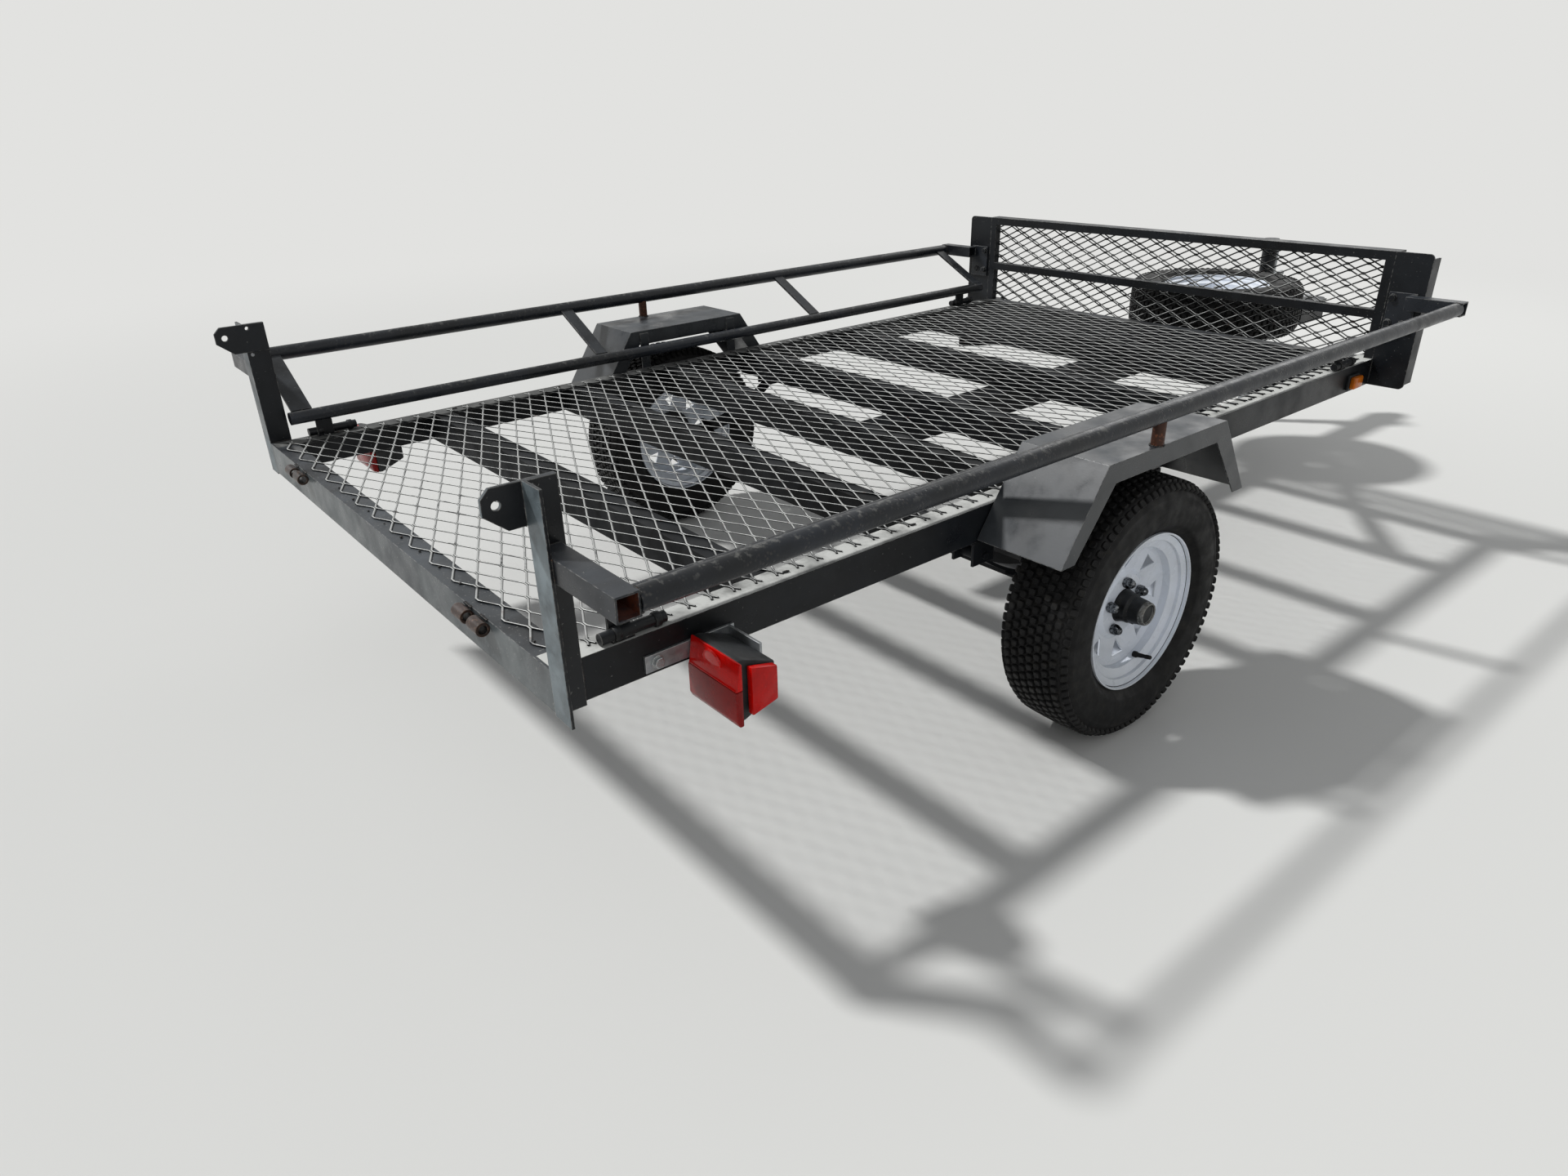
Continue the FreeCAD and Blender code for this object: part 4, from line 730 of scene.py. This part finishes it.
class TRAILER_OT_floor_mesh(bpy.types.Operator):
    """Lay the expanded metal on the bed"""
    bl_idname = "trailer.floor_mesh"
    bl_label = "Floor mesh"

    def execute(self, context):
        low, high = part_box("floor_mesh")
        floor = expanded_metal("floor_expanded_metal", high.x - low.x, high.y - low.y,
                               context.scene.trailer_sizes, FLOOR_LEAN, FINISHES["floor mesh"])
        floor.data.transform(Matrix.Translation((low + high) / 2))
        dress(floor, ("floor_mesh",))
        return {"FINISHED"}


class TRAILER_OT_headboard_mesh(bpy.types.Operator):
    """Hang the expanded metal on both faces of the headboard"""
    bl_idname = "trailer.headboard_mesh"
    bl_label = "Headboard mesh"

    def execute(self, context):
        low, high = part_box("headboard_mesh")
        frame_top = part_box("headboard_frame")[1].z
        upright = Matrix.Rotation(-math.pi / 2, 4, "Y")
        sheets = []
        for name, x, foot, top in (("rear", low.x, BED_TOP, frame_top - REAR_MARGIN),
                                   ("front", high.x - STRAND_DEPTH, low.z, high.z - FRONT_MARGIN)):
            sheet = expanded_metal("head_" + name, top - foot, high.y - low.y, context.scene.trailer_sizes,
                                   HEAD_LEAN, FINISHES["head mesh"])
            middle = (x + STRAND_DEPTH / 2, (low.y + high.y) / 2, (foot + top) / 2)
            sheet.data.transform(Matrix.Translation(middle) @ upright)
            sheets.append(sheet)
        dress(merged("headboard_expanded_metal", sheets), ("headboard_mesh",))
        return {"FINISHED"}


# Half the tyre's section as shares of its half width, with heights: the wall over the bead, the crown
# below the tread's top, and the inside of the wall over the bead and of the crown
WALL = ((0.60, 0.0), (0.70, 0.002), (0.76, 0.012), (0.80, 0.020), (0.93, 0.034), (0.955, 0.036),
        (0.965, 0.041), (0.995, 0.058), (1.0, 0.071), (0.99, 0.083), (0.965, 0.094), (0.972, 0.096),
        (0.965, 0.099), (0.945, 0.102))
CROWN = ((0.90, 0.024), (0.84, 0.014), (0.76, 0.0095), (0.5, 0.0082), (0.25, 0.0076), (0.0, 0.0075))
INNER_WALL = ((0.50, 0.0), (0.62, 0.02), (0.82, 0.05), (0.84, 0.08))
INNER_CROWN = (0.66, 0.024)
BEAD_RADIUS = 0.1665
TYRE_STEPS = 112

# Tread: rows of blocks across the crown, its curve, one row on each shoulder, and how far the blocks'
# tops stay inside the solid's tread
TREAD_ROWS = 7
ROW_STEP = 0.0195
BLOCK_SIDE = 0.0160
CROWN_CURVE = 0.55
CROWN_SLOPE = 1.2
SHOULDER_ROW = 0.0755
SHOULDER_DROP = 0.0185
SHOULDER_LEAN = 0.79
TREAD_MARGIN = 0.0003


def tyre_profile(half, outer):
    """Closed section of (across, radius) points, from one bead over the tread to the other."""
    side = [(half * share, BEAD_RADIUS + up) for share, up in WALL]
    side += [(half * share, outer - down) for share, down in CROWN]
    inside = [(half * share, BEAD_RADIUS + up) for share, up in INNER_WALL]
    inside.append((half * INNER_CROWN[0], outer - INNER_CROWN[1]))
    left = [(-across, radius) for across, radius in side[-2::-1]]
    return side + left + [(-across, radius) for across, radius in inside] + inside[::-1]


def tread_row(across, radius, lean, count, shift):
    """Places round a tyre for one row of blocks, which lean with the crown."""
    turns = [2 * math.pi * (number + shift) / count for number in range(count)]
    return [((radius * math.cos(turn), across, radius * math.sin(turn)), (-lean, math.pi / 2 - turn, 0))
            for turn in turns]


class TRAILER_OT_tyres(bpy.types.Operator):
    """Mould the three tyres with their tread"""
    bl_idname = "trailer.tyres"
    bl_label = "Tyres"

    def execute(self, context):
        sizes = context.scene.trailer_sizes
        low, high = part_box("tyre_left")
        outer, half = (high.z - low.z) / 2, (high.y - low.y) / 2
        rubber = FINISHES["rubber"]
        block = tread_block("block", BLOCK_SIDE, sizes.groove_depth)
        crown, shoulders = [], []
        for row in range(TREAD_ROWS):
            across = (row - (TREAD_ROWS - 1) / 2) * ROW_STEP
            radius = outer - sizes.groove_depth - TREAD_MARGIN - CROWN_CURVE * across * across
            crown += tread_row(across, radius, CROWN_SLOPE * across, sizes.blocks_around, row % 2 / 2)
        for _, side in SIDES:
            shoulders += tread_row(side * SHOULDER_ROW, outer - SHOULDER_DROP, side * SHOULDER_LEAN,
                                   sizes.blocks_around, 0.5)
        for node, body in (("tyre_left", "wheel_left"), ("tyre_right", "wheel_right"),
                           ("spare_tyre", "frame")):
            carcass = lathe("carcass", tyre_profile(half, outer), TYRE_STEPS, sharp=40)
            wear(carcass, rubber)
            tyre = merged(node + "_rubber", [carcass, parts_at("crown", block, crown, rubber),
                                             parts_at("shoulders", block, shoulders, rubber, 1.02, 1.06)])
            if node == "spare_tyre":
                tyre.data.transform(Matrix.Rotation(math.pi / 2, 4, "X"))
            low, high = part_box(node)
            tyre.data.transform(Matrix.Translation((low + high) / 2))
            dress(tyre, (node,), body)
        bpy.data.objects.remove(block)
        return {"FINISHED"}


# Wheel: the studs and their circle, the valve with its turn, its lean to the hub and its depth behind
# the dust cap's end, and the hub beyond the disc
STUDS = 5
STUD_CIRCLE = 0.05715
FIRST_STUD = math.radians(21)
VALVE_TURN = math.radians(-72)
VALVE_LEAN = math.radians(-14)
VALVE_CIRCLE = 0.140
VALVE_DEPTH = 0.0365
HUB_REACH = 0.060


def dust_cap():
    """Pressed dust cap about Y, its end at the origin: a rolled ring round a deep dark dish."""
    ring = lathe("ring", [(-0.018, 0.0262), (-0.017, 0.0272), (-0.006, 0.0272), (0.003, 0.0266),
                          (0.0058, 0.0250), (0.0062, 0.0232), (0.0055, 0.0218), (0.0015, 0.0210),
                          (-0.004, 0.0210), (-0.004, 0.0240)], 40)
    wear(ring, FINISHES["dusty"])
    dish = lathe("dish", [(-0.003, 0.0), (-0.003, 0.0214), (0.0012, 0.0214), (0.0016, 0.0150),
                          (0.0022, 0.0)], 32, loop=False)
    wear(dish, FINISHES["plastic"])
    return [ring, dish]


def tyre_valve():
    """Rubber valve with its cap, standing out along Y from the disc and leaning to the hub."""
    valve = lathe("valve", [(-0.004, 0.0), (-0.004, 0.0078), (0.002, 0.0078), (0.006, 0.0055),
                            (0.024, 0.0046), (0.028, 0.0042), (0.028, 0.0050), (0.040, 0.0048),
                            (0.0415, 0.0036), (0.0415, 0.0)], 20, loop=False)
    wear(valve, FINISHES["rubber"])
    across = Vector((math.sin(VALVE_TURN), 0, -math.cos(VALVE_TURN)))
    ahead, up = polar(VALVE_CIRCLE, VALVE_TURN)
    lean = Matrix.Rotation(VALVE_LEAN, 4, across)
    valve.data.transform(Matrix.Translation((ahead, -VALVE_DEPTH, up)) @ lean)
    return valve


class TRAILER_OT_wheel_fittings(bpy.types.Operator):
    """Fit the lug nuts, dust caps and valves"""
    bl_idname = "trailer.wheel_fittings"
    bl_label = "Wheel fittings"

    def execute(self, context):
        nut = acorn_nut("nut", 0.0210, 0.025)
        for word, side in SIDES:
            low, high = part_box("rim_" + word)
            middle = (low + high) / 2
            hub_low, hub_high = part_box("hub_" + word)
            end = hub_high.y if side > 0 else hub_low.y
            disc = end - side * (HUB_REACH - 0.001)
            places = []
            for number in range(STUDS):
                turn = FIRST_STUD + number * 2 * math.pi / STUDS
                ahead, up = polar(STUD_CIRCLE, turn)
                places.append(((middle.x + ahead, disc, middle.z + up), standing((0, side, 0))))
            dress(parts_at("lug_nuts_" + word, nut, places, FINISHES["nut"]),
                  body="wheel_" + word)
            fittings = merged("wheel_fittings_" + word, dust_cap() + [tyre_valve()])
            mirror = Matrix.Diagonal((1, side, 1, 1))
            fittings.data.transform(Matrix.Translation((middle.x, end, middle.z)) @ mirror)
            if side < 0:
                fittings.data.flip_normals()
            dress(fittings, body="wheel_" + word)
        bpy.data.objects.remove(nut)
        return {"FINISHED"}


def ring_points(centre, radius, normal, steps=20):
    """A closed ring of points about an axis."""
    across = Vector(normal).orthogonal().normalized()
    up = Vector(normal).cross(across)
    turns = (2 * math.pi * step / steps for step in range(steps + 1))
    return [Vector(centre) + (across * math.cos(turn) + up * math.sin(turn)) * radius for turn in turns]


def along(line, step):
    """Even places along an open line, each with the turn of a ripple that lies across it."""
    places = []
    for near, far in zip(line, line[1:]):
        near, far = Vector(near), Vector(far)
        count = max(1, round((far - near).length / step))
        turn = (far - near).to_track_quat("X", "Z").to_euler()
        places += [(near.lerp(far, (number + 0.5) / count), turn) for number in range(count)]
    return places


# Middles of the gate's hinge barrels off the centreline, how far apart the tacks of the mesh lie, and a
# bead's ripples: how far apart, as a share of its width, and their least and largest size
BARREL_MIDDLES = (0.460, 0.522)
SIDE_TACK_STEP, REAR_TACK_STEP = 0.32, 0.094
RIPPLE_STEP = 0.45
RIPPLE_SIZES = (0.75, 1.2)


def seams_of(side, word):
    """The frame's weld seams on one side, as lines of points."""
    outer_low, outer_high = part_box("outer_rail_" + word)
    rail = (outer_low + outer_high) / 2
    pipe = (outer_high.z - outer_low.z) / 2
    rail_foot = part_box("side_rail_" + word)[0].z
    stub_low, stub_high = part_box("fender_stub_" + word)
    seams = [ring_points((x, rail.y, rail.z), pipe, (1, 0, 0))
             for x in (outer_low.x + 0.001, outer_high.x - 0.001)]

    def seam(*points):
        """A line of points, each ahead of the bed's rear, outboard of its side and above the ground."""
        seams.append([(BED_REAR + ahead, side * (BED_HALF + outboard), up) for ahead, outboard, up in points])

    # The rear post on its outrigger, on the rail's end and on the rear crossmember
    for z in (outer_low.z - 0.0005, outer_high.z + 0.0005):
        seam((0.007, 0.006, z), (0.041, 0.006, z))
    seam((0.0045, 0.051, outer_low.z), (0.0045, 0.051, outer_high.z))
    seam((0.052, 0.001, rail_foot + 0.004), (0.052, 0.001, BED_TOP - 0.004))
    seam((0.006, -0.002, BED_TOP + 0.001), (0.045, -0.002, BED_TOP + 0.001))
    # The front post on the side rail, the fender's stub, and the hinge barrels
    front = BED_FRONT - BED_REAR - 0.001
    seam((front, 0.001, rail_foot + 0.006), (front, 0.001, BED_TOP - 0.004))
    seams.append(ring_points(((stub_low.x + stub_high.x) / 2, rail.y, stub_low.z + 0.001), 0.0135, (0, 0, 1)))
    for middle in BARREL_MIDDLES:
        seam(*((-0.0005, middle - BED_HALF + end * 0.014, BED_TOP - 0.0005) for end in (-1, 1)))
    # Short tacks that hold the mesh to the rail's flange
    for number in range(8):
        ahead = 0.15 + number * SIDE_TACK_STEP
        seam((ahead, -0.026, BED_TOP + 0.0022), (ahead + 0.012, -0.024, BED_TOP + 0.0022))
    return seams


class TRAILER_OT_welds(bpy.types.Operator):
    """Lay the weld beads where the frame's members meet"""
    bl_idname = "trailer.welds"
    bl_label = "Weld beads"

    def execute(self, context):
        width = context.scene.trailer_sizes.weld_width
        ripple = weld_ripple("ripple", width)
        # The rings round the outer rails stop short of the trailer's full width
        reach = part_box("outer_rail_left")[1].y - width * 0.75
        seams = [seam for word, side in SIDES for seam in seams_of(side, word)]
        places = [place for seam in seams for place in along(seam, width * RIPPLE_STEP)
                  if abs(place[0].y) < reach]
        # Tacks of the mesh on the rear crossmember, where its strands end
        places += [((BED_REAR + 0.022, number * REAR_TACK_STEP, BED_TOP + 0.0022), (0, 0, 0))
                   for number in range(-7, 8)]
        beads = parts_at("weld_beads", ripple, places, FINISHES["weld"], *RIPPLE_SIZES, seed=11)
        bpy.data.objects.remove(ripple)
        dress(beads)
        return {"FINISHED"}


class TRAILER_OT_fasteners(bpy.types.Operator):
    """Drive the bolts of the plates, brackets and springs, and the collars of the rail pins"""
    bl_idname = "trailer.fasteners"
    bl_label = "Fasteners"

    def execute(self, context):
        painted, plated, collars = [], [], []
        bracket, clamp, seat = (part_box(node) for node in ("lamp_brackets", "spring_clamps", "rail_seats"))
        for word, side in SIDES:
            # Three bolts through the front outrigger's plate
            plate_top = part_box("outriggers_" + word)[1].z + 0.004
            for y, drop in ((0.020, 0.092), (0.058, 0.092), (0.020, 0.020)):
                middle = (BED_FRONT - 0.006, side * (BED_HALF + y), plate_top - drop)
                painted.append((middle, standing((-1, 0, 0))))
            # One bolt through the lamp's bracket
            middle = (bracket[0].x + 0.022, side * (BED_HALF + 0.0052), (bracket[0].z + bracket[1].z) / 2)
            plated.append((middle, standing((0, side, 0))))
            # Nuts of the spring's four U-bolt ends, under the clamp plate
            for x in (clamp[0].x + 0.014, clamp[1].x - 0.014):
                for inboard in (0.007, 0.065):
                    middle = (x, side * (clamp[1].y - inboard), clamp[0].z + 0.012)
                    plated.append((middle, standing((0, 0, -1))))
            # Collars at both ends of each rail pin
            for start in (seat[0].x, seat[1].x - 0.120):
                for x in (start + 0.030, start + 0.104):
                    collars.append(((x, side * (BED_HALF - 0.011), BED_TOP + 0.012), (0, 0, -math.pi / 2)))
        bolt = hex_bolt("bolt", 0.017, 0.0075)
        collar = lathe("collar", [(-0.006, 0.0095), (-0.006, 0.0118), (-0.0045, 0.0128), (0.0045, 0.0128),
                                  (0.006, 0.0118), (0.006, 0.0095)], 24)
        for name, part, places, finish, slot in (("painted_bolts", bolt, painted, "frame", "black_steel"),
                                                 ("plated_bolts", bolt, plated, "bright", "zinc"),
                                                 ("pin_collars", collar, collars, "hub", "black_steel")):
            dress(parts_at(name, part, places, FINISHES[finish]))
        bpy.data.objects.remove(bolt)
        bpy.data.objects.remove(collar)
        return {"FINISHED"}


def lamp_pieces(side, lens, body):
    """One tail lamp: its rear lens with the bulb's ring, its side lens and its housing."""
    near, far = BED_HALF + 0.008, lens[1].y
    wide, tall, deep = far - near, lens[1].z - lens[0].z, body[1].x - lens[0].x
    x, foot = lens[0].x, lens[0].z
    start, thick = (x, side * near, foot), 0.0145
    # The rear lens leans forward by 9 degrees over a step at 58% of its height, and the bulb's ring on it
    lean = math.radians(9)
    step, across = tall * 0.58, side * (wide - 0.003)
    upper = extruded("upper_lens", [(thick, step), (thick, tall), (0.010, tall), (0.0035, step + 0.004),
                                    (0.0008, step)], start, across, 0.0026)
    lower = extruded("lower_lens", [(thick, 0), (thick, step), (0.0003, step), (0.0, tall * 0.10),
                                    (0.006, 0)], start, across, 0.0026)
    ring = lathe("bulb_ring", [(-0.002, 0.0245), (0.0012, 0.0235), (0.0016, 0.0215), (0.0004, 0.0200),
                               (0.0010, 0.0120), (0.0016, 0.0)], 36, loop=False)
    tilt = Matrix.Rotation(math.pi / 2 - lean, 4, "Y") @ Matrix.Rotation(-math.pi / 2, 4, "X")
    middle = (x + 0.0072, side * (near + wide * 0.46), foot + tall * 0.79)
    ring.data.transform(Matrix.Translation(middle) @ tilt)
    # The side lens stands on the outboard face, ahead of a dark gap
    outer = extruded("side_lens", [(0.030, 0.014), (0.030, tall - 0.012), (deep - 0.006, tall - 0.026),
                                   (deep - 0.006, 0.026)],
                     (x, side * (far - 0.014), foot), side * 0.014, 0.0028)
    housing = extruded("housing", [(0.0148, 0.001), (0.0148, tall - 0.001), (0.026, tall - 0.001),
                                   (deep, tall - 0.026), (deep, 0.026), (0.026, 0.001)],
                       start, side * (wide - 0.015), 0.0035)
    for piece in (upper, ring, outer):
        wear(piece, FINISHES["red"])
    # The lower lens takes the darker red: painted shade
    wear(lower, FINISHES["painted shade red"])
    wear(housing, FINISHES["plastic"])
    return [upper, lower, ring, outer], housing


def marker_pieces(side, mark):
    """One side marker: a black base with an amber lens standing out of it."""
    long, tall = mark[1].x - mark[0].x, mark[1].z - mark[0].z
    pieces = []
    for name, margin, outboard, reach, bevel, segments, finish in (
            ("marker_base", 0.0, 0.0, 0.009, 0.002, 2, "plastic"),
            ("marker_lens", 0.004, 0.008, 0.016, 0.0055, 3, "amber")):
        right, top = long - margin, tall - margin
        start = (mark[0].x, side * (BED_HALF + outboard), mark[0].z)
        piece = extruded(name, [(margin, margin), (margin, top), (right, top), (right, margin)], start,
                         side * reach, bevel, segments)
        wear(piece, FINISHES[finish])
        pieces.append(piece)
    return pieces


class TRAILER_OT_lamps(bpy.types.Operator):
    """Build the tail lamps and the side markers"""
    bl_idname = "trailer.lamps"
    bl_label = "Lamps"

    def execute(self, context):
        reds, blacks, ambers = [], [], []
        for _, side in SIDES:
            lenses, housing = lamp_pieces(side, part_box("tail_lenses"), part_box("tail_lamps"))
            base, amber = marker_pieces(side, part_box("side_markers"))
            reds += lenses
            blacks += [housing, base]
            ambers.append(amber)
        dress(merged("tail_lamp_lenses", reds), ("tail_lenses",))
        dress(merged("lamp_housings", blacks), ("tail_lamps",))
        dress(merged("side_marker_lenses", ambers), ("side_markers",))
        return {"FINISHED"}


# Studio: the floor and where it fades into the backdrop, the sun's direction, strength and softness, and
# the lamps as place, watts and size in metres, with the point that they face
FLOOR_RADIUS = 60.0
FADE_START, FADE_END = 2.6, 8.0
SUN_FROM = (-0.42, 0.50, 0.76)
SUN_STRENGTH = 2.8
SUN_ANGLE = math.radians(5)
LAMPS = (("fill", (-3.5, -5.0, 3.6), 40, 4.0), ("back", (5.5, 1.5, 4.2), 60, 3.4))
AIM = (0.2, 0, 0.4)

# The camera stands behind the right rear corner at head height: pixels, millimetres of its sensor,
# degrees, metres
PICTURE_WIDTH = 1920
SENSOR_WIDTH = 36
CAMERA_FOCAL = 1229.3
CAMERA_ANGLES = (51.33, -26.0, -1.61)
CAMERA_PLACE = (-2.5245, -1.976, 1.328)


def shown(tree):
    """A mask that is 1 for the rays that show the backdrop: the camera's and those in gloss and glass."""
    path = add(tree, "LightPath")
    seen = path.outputs["Is Camera Ray"]
    for word in ("Is Glossy Ray", "Is Transmission Ray"):
        seen = add(tree, "Math", {0: seen, 1: path.outputs[word]}, operation="MAXIMUM")
    return seen


def studio_floor(paper, backdrop):
    """A round pale floor that keeps the trailer's shadow and fades into the backdrop."""
    ground = bmesh.new()
    bmesh.ops.create_circle(ground, cap_ends=True, segments=96, radius=FLOOR_RADIUS,
                            matrix=Matrix.Translation((0, 0, -0.0005)))
    floor = closed(ground, "studio_floor")
    finish, tree = new_finish("pale studio floor")
    near = add(tree, "BsdfPrincipled", {"Base Color": rgba(paper), "Roughness": 0.9,
                                        "Specular IOR Level": 0.2})
    glow = add(tree, "Emission", {"Color": rgba(backdrop)})
    away = add(tree, "VectorMath", {0: where(tree)}, operation="LENGTH")
    faded = add(tree, "MapRange", {"Value": away, "From Min": FADE_START, "From Max": FADE_END},
                interpolation_type="SMOOTHSTEP")
    mixed = add(tree, "MixShader", {0: together(tree, faded, shown(tree)), 1: near, 2: glow})
    add(tree, "OutputMaterial", {"Surface": mixed})
    wear(floor, finish)
    return floor


def studio_world(backdrop):
    world = bpy.data.worlds.new("studio")
    world.use_nodes = True
    air = world.node_tree
    air.nodes.clear()
    dim = add(air, "Background", {"Color": (0.95, 0.97, 1.0, 1.0), "Strength": 0.30})
    pale = add(air, "Background", {"Color": rgba(backdrop), "Strength": 1.0})
    both = add(air, "MixShader", {0: shown(air), 1: dim, 2: pale})
    add(air, "OutputWorld", {"Surface": both})
    return world


def camera_view():
    """The camera's place and turn, from its yaw, pitch and roll."""
    yaw, pitch, roll = (math.radians(angle) for angle in CAMERA_ANGLES)
    level = Matrix.Rotation(yaw - math.pi / 2, 4, "Z") @ Matrix.Rotation(pitch + math.pi / 2, 4, "X")
    return Matrix.Translation(CAMERA_PLACE) @ level @ Matrix.Rotation(roll, 4, "Z")


class TRAILER_OT_stage(bpy.types.Operator):
    """Set up the studio floor, the light and the camera"""
    bl_idname = "trailer.stage"
    bl_label = "Studio"

    def execute(self, context):
        scene = context.scene
        colours = scene.trailer_colours
        studio_floor(colours.floor, colours.backdrop)
        scene.world = studio_world(colours.backdrop)
        sun = bpy.data.lights.new("sun", "SUN")
        sun.energy = SUN_STRENGTH
        sun.angle = SUN_ANGLE
        as_object("sun", sun).rotation_euler = standing(SUN_FROM)
        for name, place, power, size in LAMPS:
            light = bpy.data.lights.new(name, "AREA")
            light.energy = power
            light.size = size
            lamp = as_object(name, light)
            lamp.location = place
            lamp.rotation_euler = (Vector(AIM) - Vector(place)).to_track_quat("-Z", "Y").to_euler()
        camera = bpy.data.cameras.new("view")
        camera.sensor_width = SENSOR_WIDTH
        camera.lens = CAMERA_FOCAL / PICTURE_WIDTH * SENSOR_WIDTH
        camera.clip_end = 200
        eye = as_object("view", camera)
        eye.matrix_world = camera_view()
        scene.camera = eye
        scene.view_settings.view_transform = "Standard"
        return {"FINISHED"}


class TRAILER_PT_pieces(bpy.types.Panel):
    bl_label = "Trailer"
    bl_idname = "TRAILER_PT_pieces"
    bl_space_type = "VIEW_3D"
    bl_region_type = "UI"
    bl_category = "Trailer"

    def draw(self, context):
        for piece in PIECES:
            self.layout.operator(piece.bl_idname)
        for group in (context.scene.trailer_sizes, context.scene.trailer_colours):
            for word in group.__annotations__:
                self.layout.prop(group, word)


PIECES = (TRAILER_OT_paint, TRAILER_OT_floor_mesh, TRAILER_OT_headboard_mesh, TRAILER_OT_tyres,
          TRAILER_OT_wheel_fittings, TRAILER_OT_welds, TRAILER_OT_fasteners, TRAILER_OT_lamps,
          TRAILER_OT_stage)
CLASSES = (TrailerSizes, TrailerColours, *PIECES, TRAILER_PT_pieces)


def register():
    for made in CLASSES:
        bpy.utils.register_class(made)
    bpy.types.Scene.trailer_sizes = bpy.props.PointerProperty(type=TrailerSizes)
    bpy.types.Scene.trailer_colours = bpy.props.PointerProperty(type=TrailerColours)


def unregister():
    del bpy.types.Scene.trailer_colours
    del bpy.types.Scene.trailer_sizes
    for made in reversed(CLASSES):
        bpy.utils.unregister_class(made)


def main():
    register()
    for piece in PIECES:
        group, name = piece.bl_idname.split(".")
        getattr(getattr(bpy.ops, group), name)()


if __name__ == "__main__":
    main()
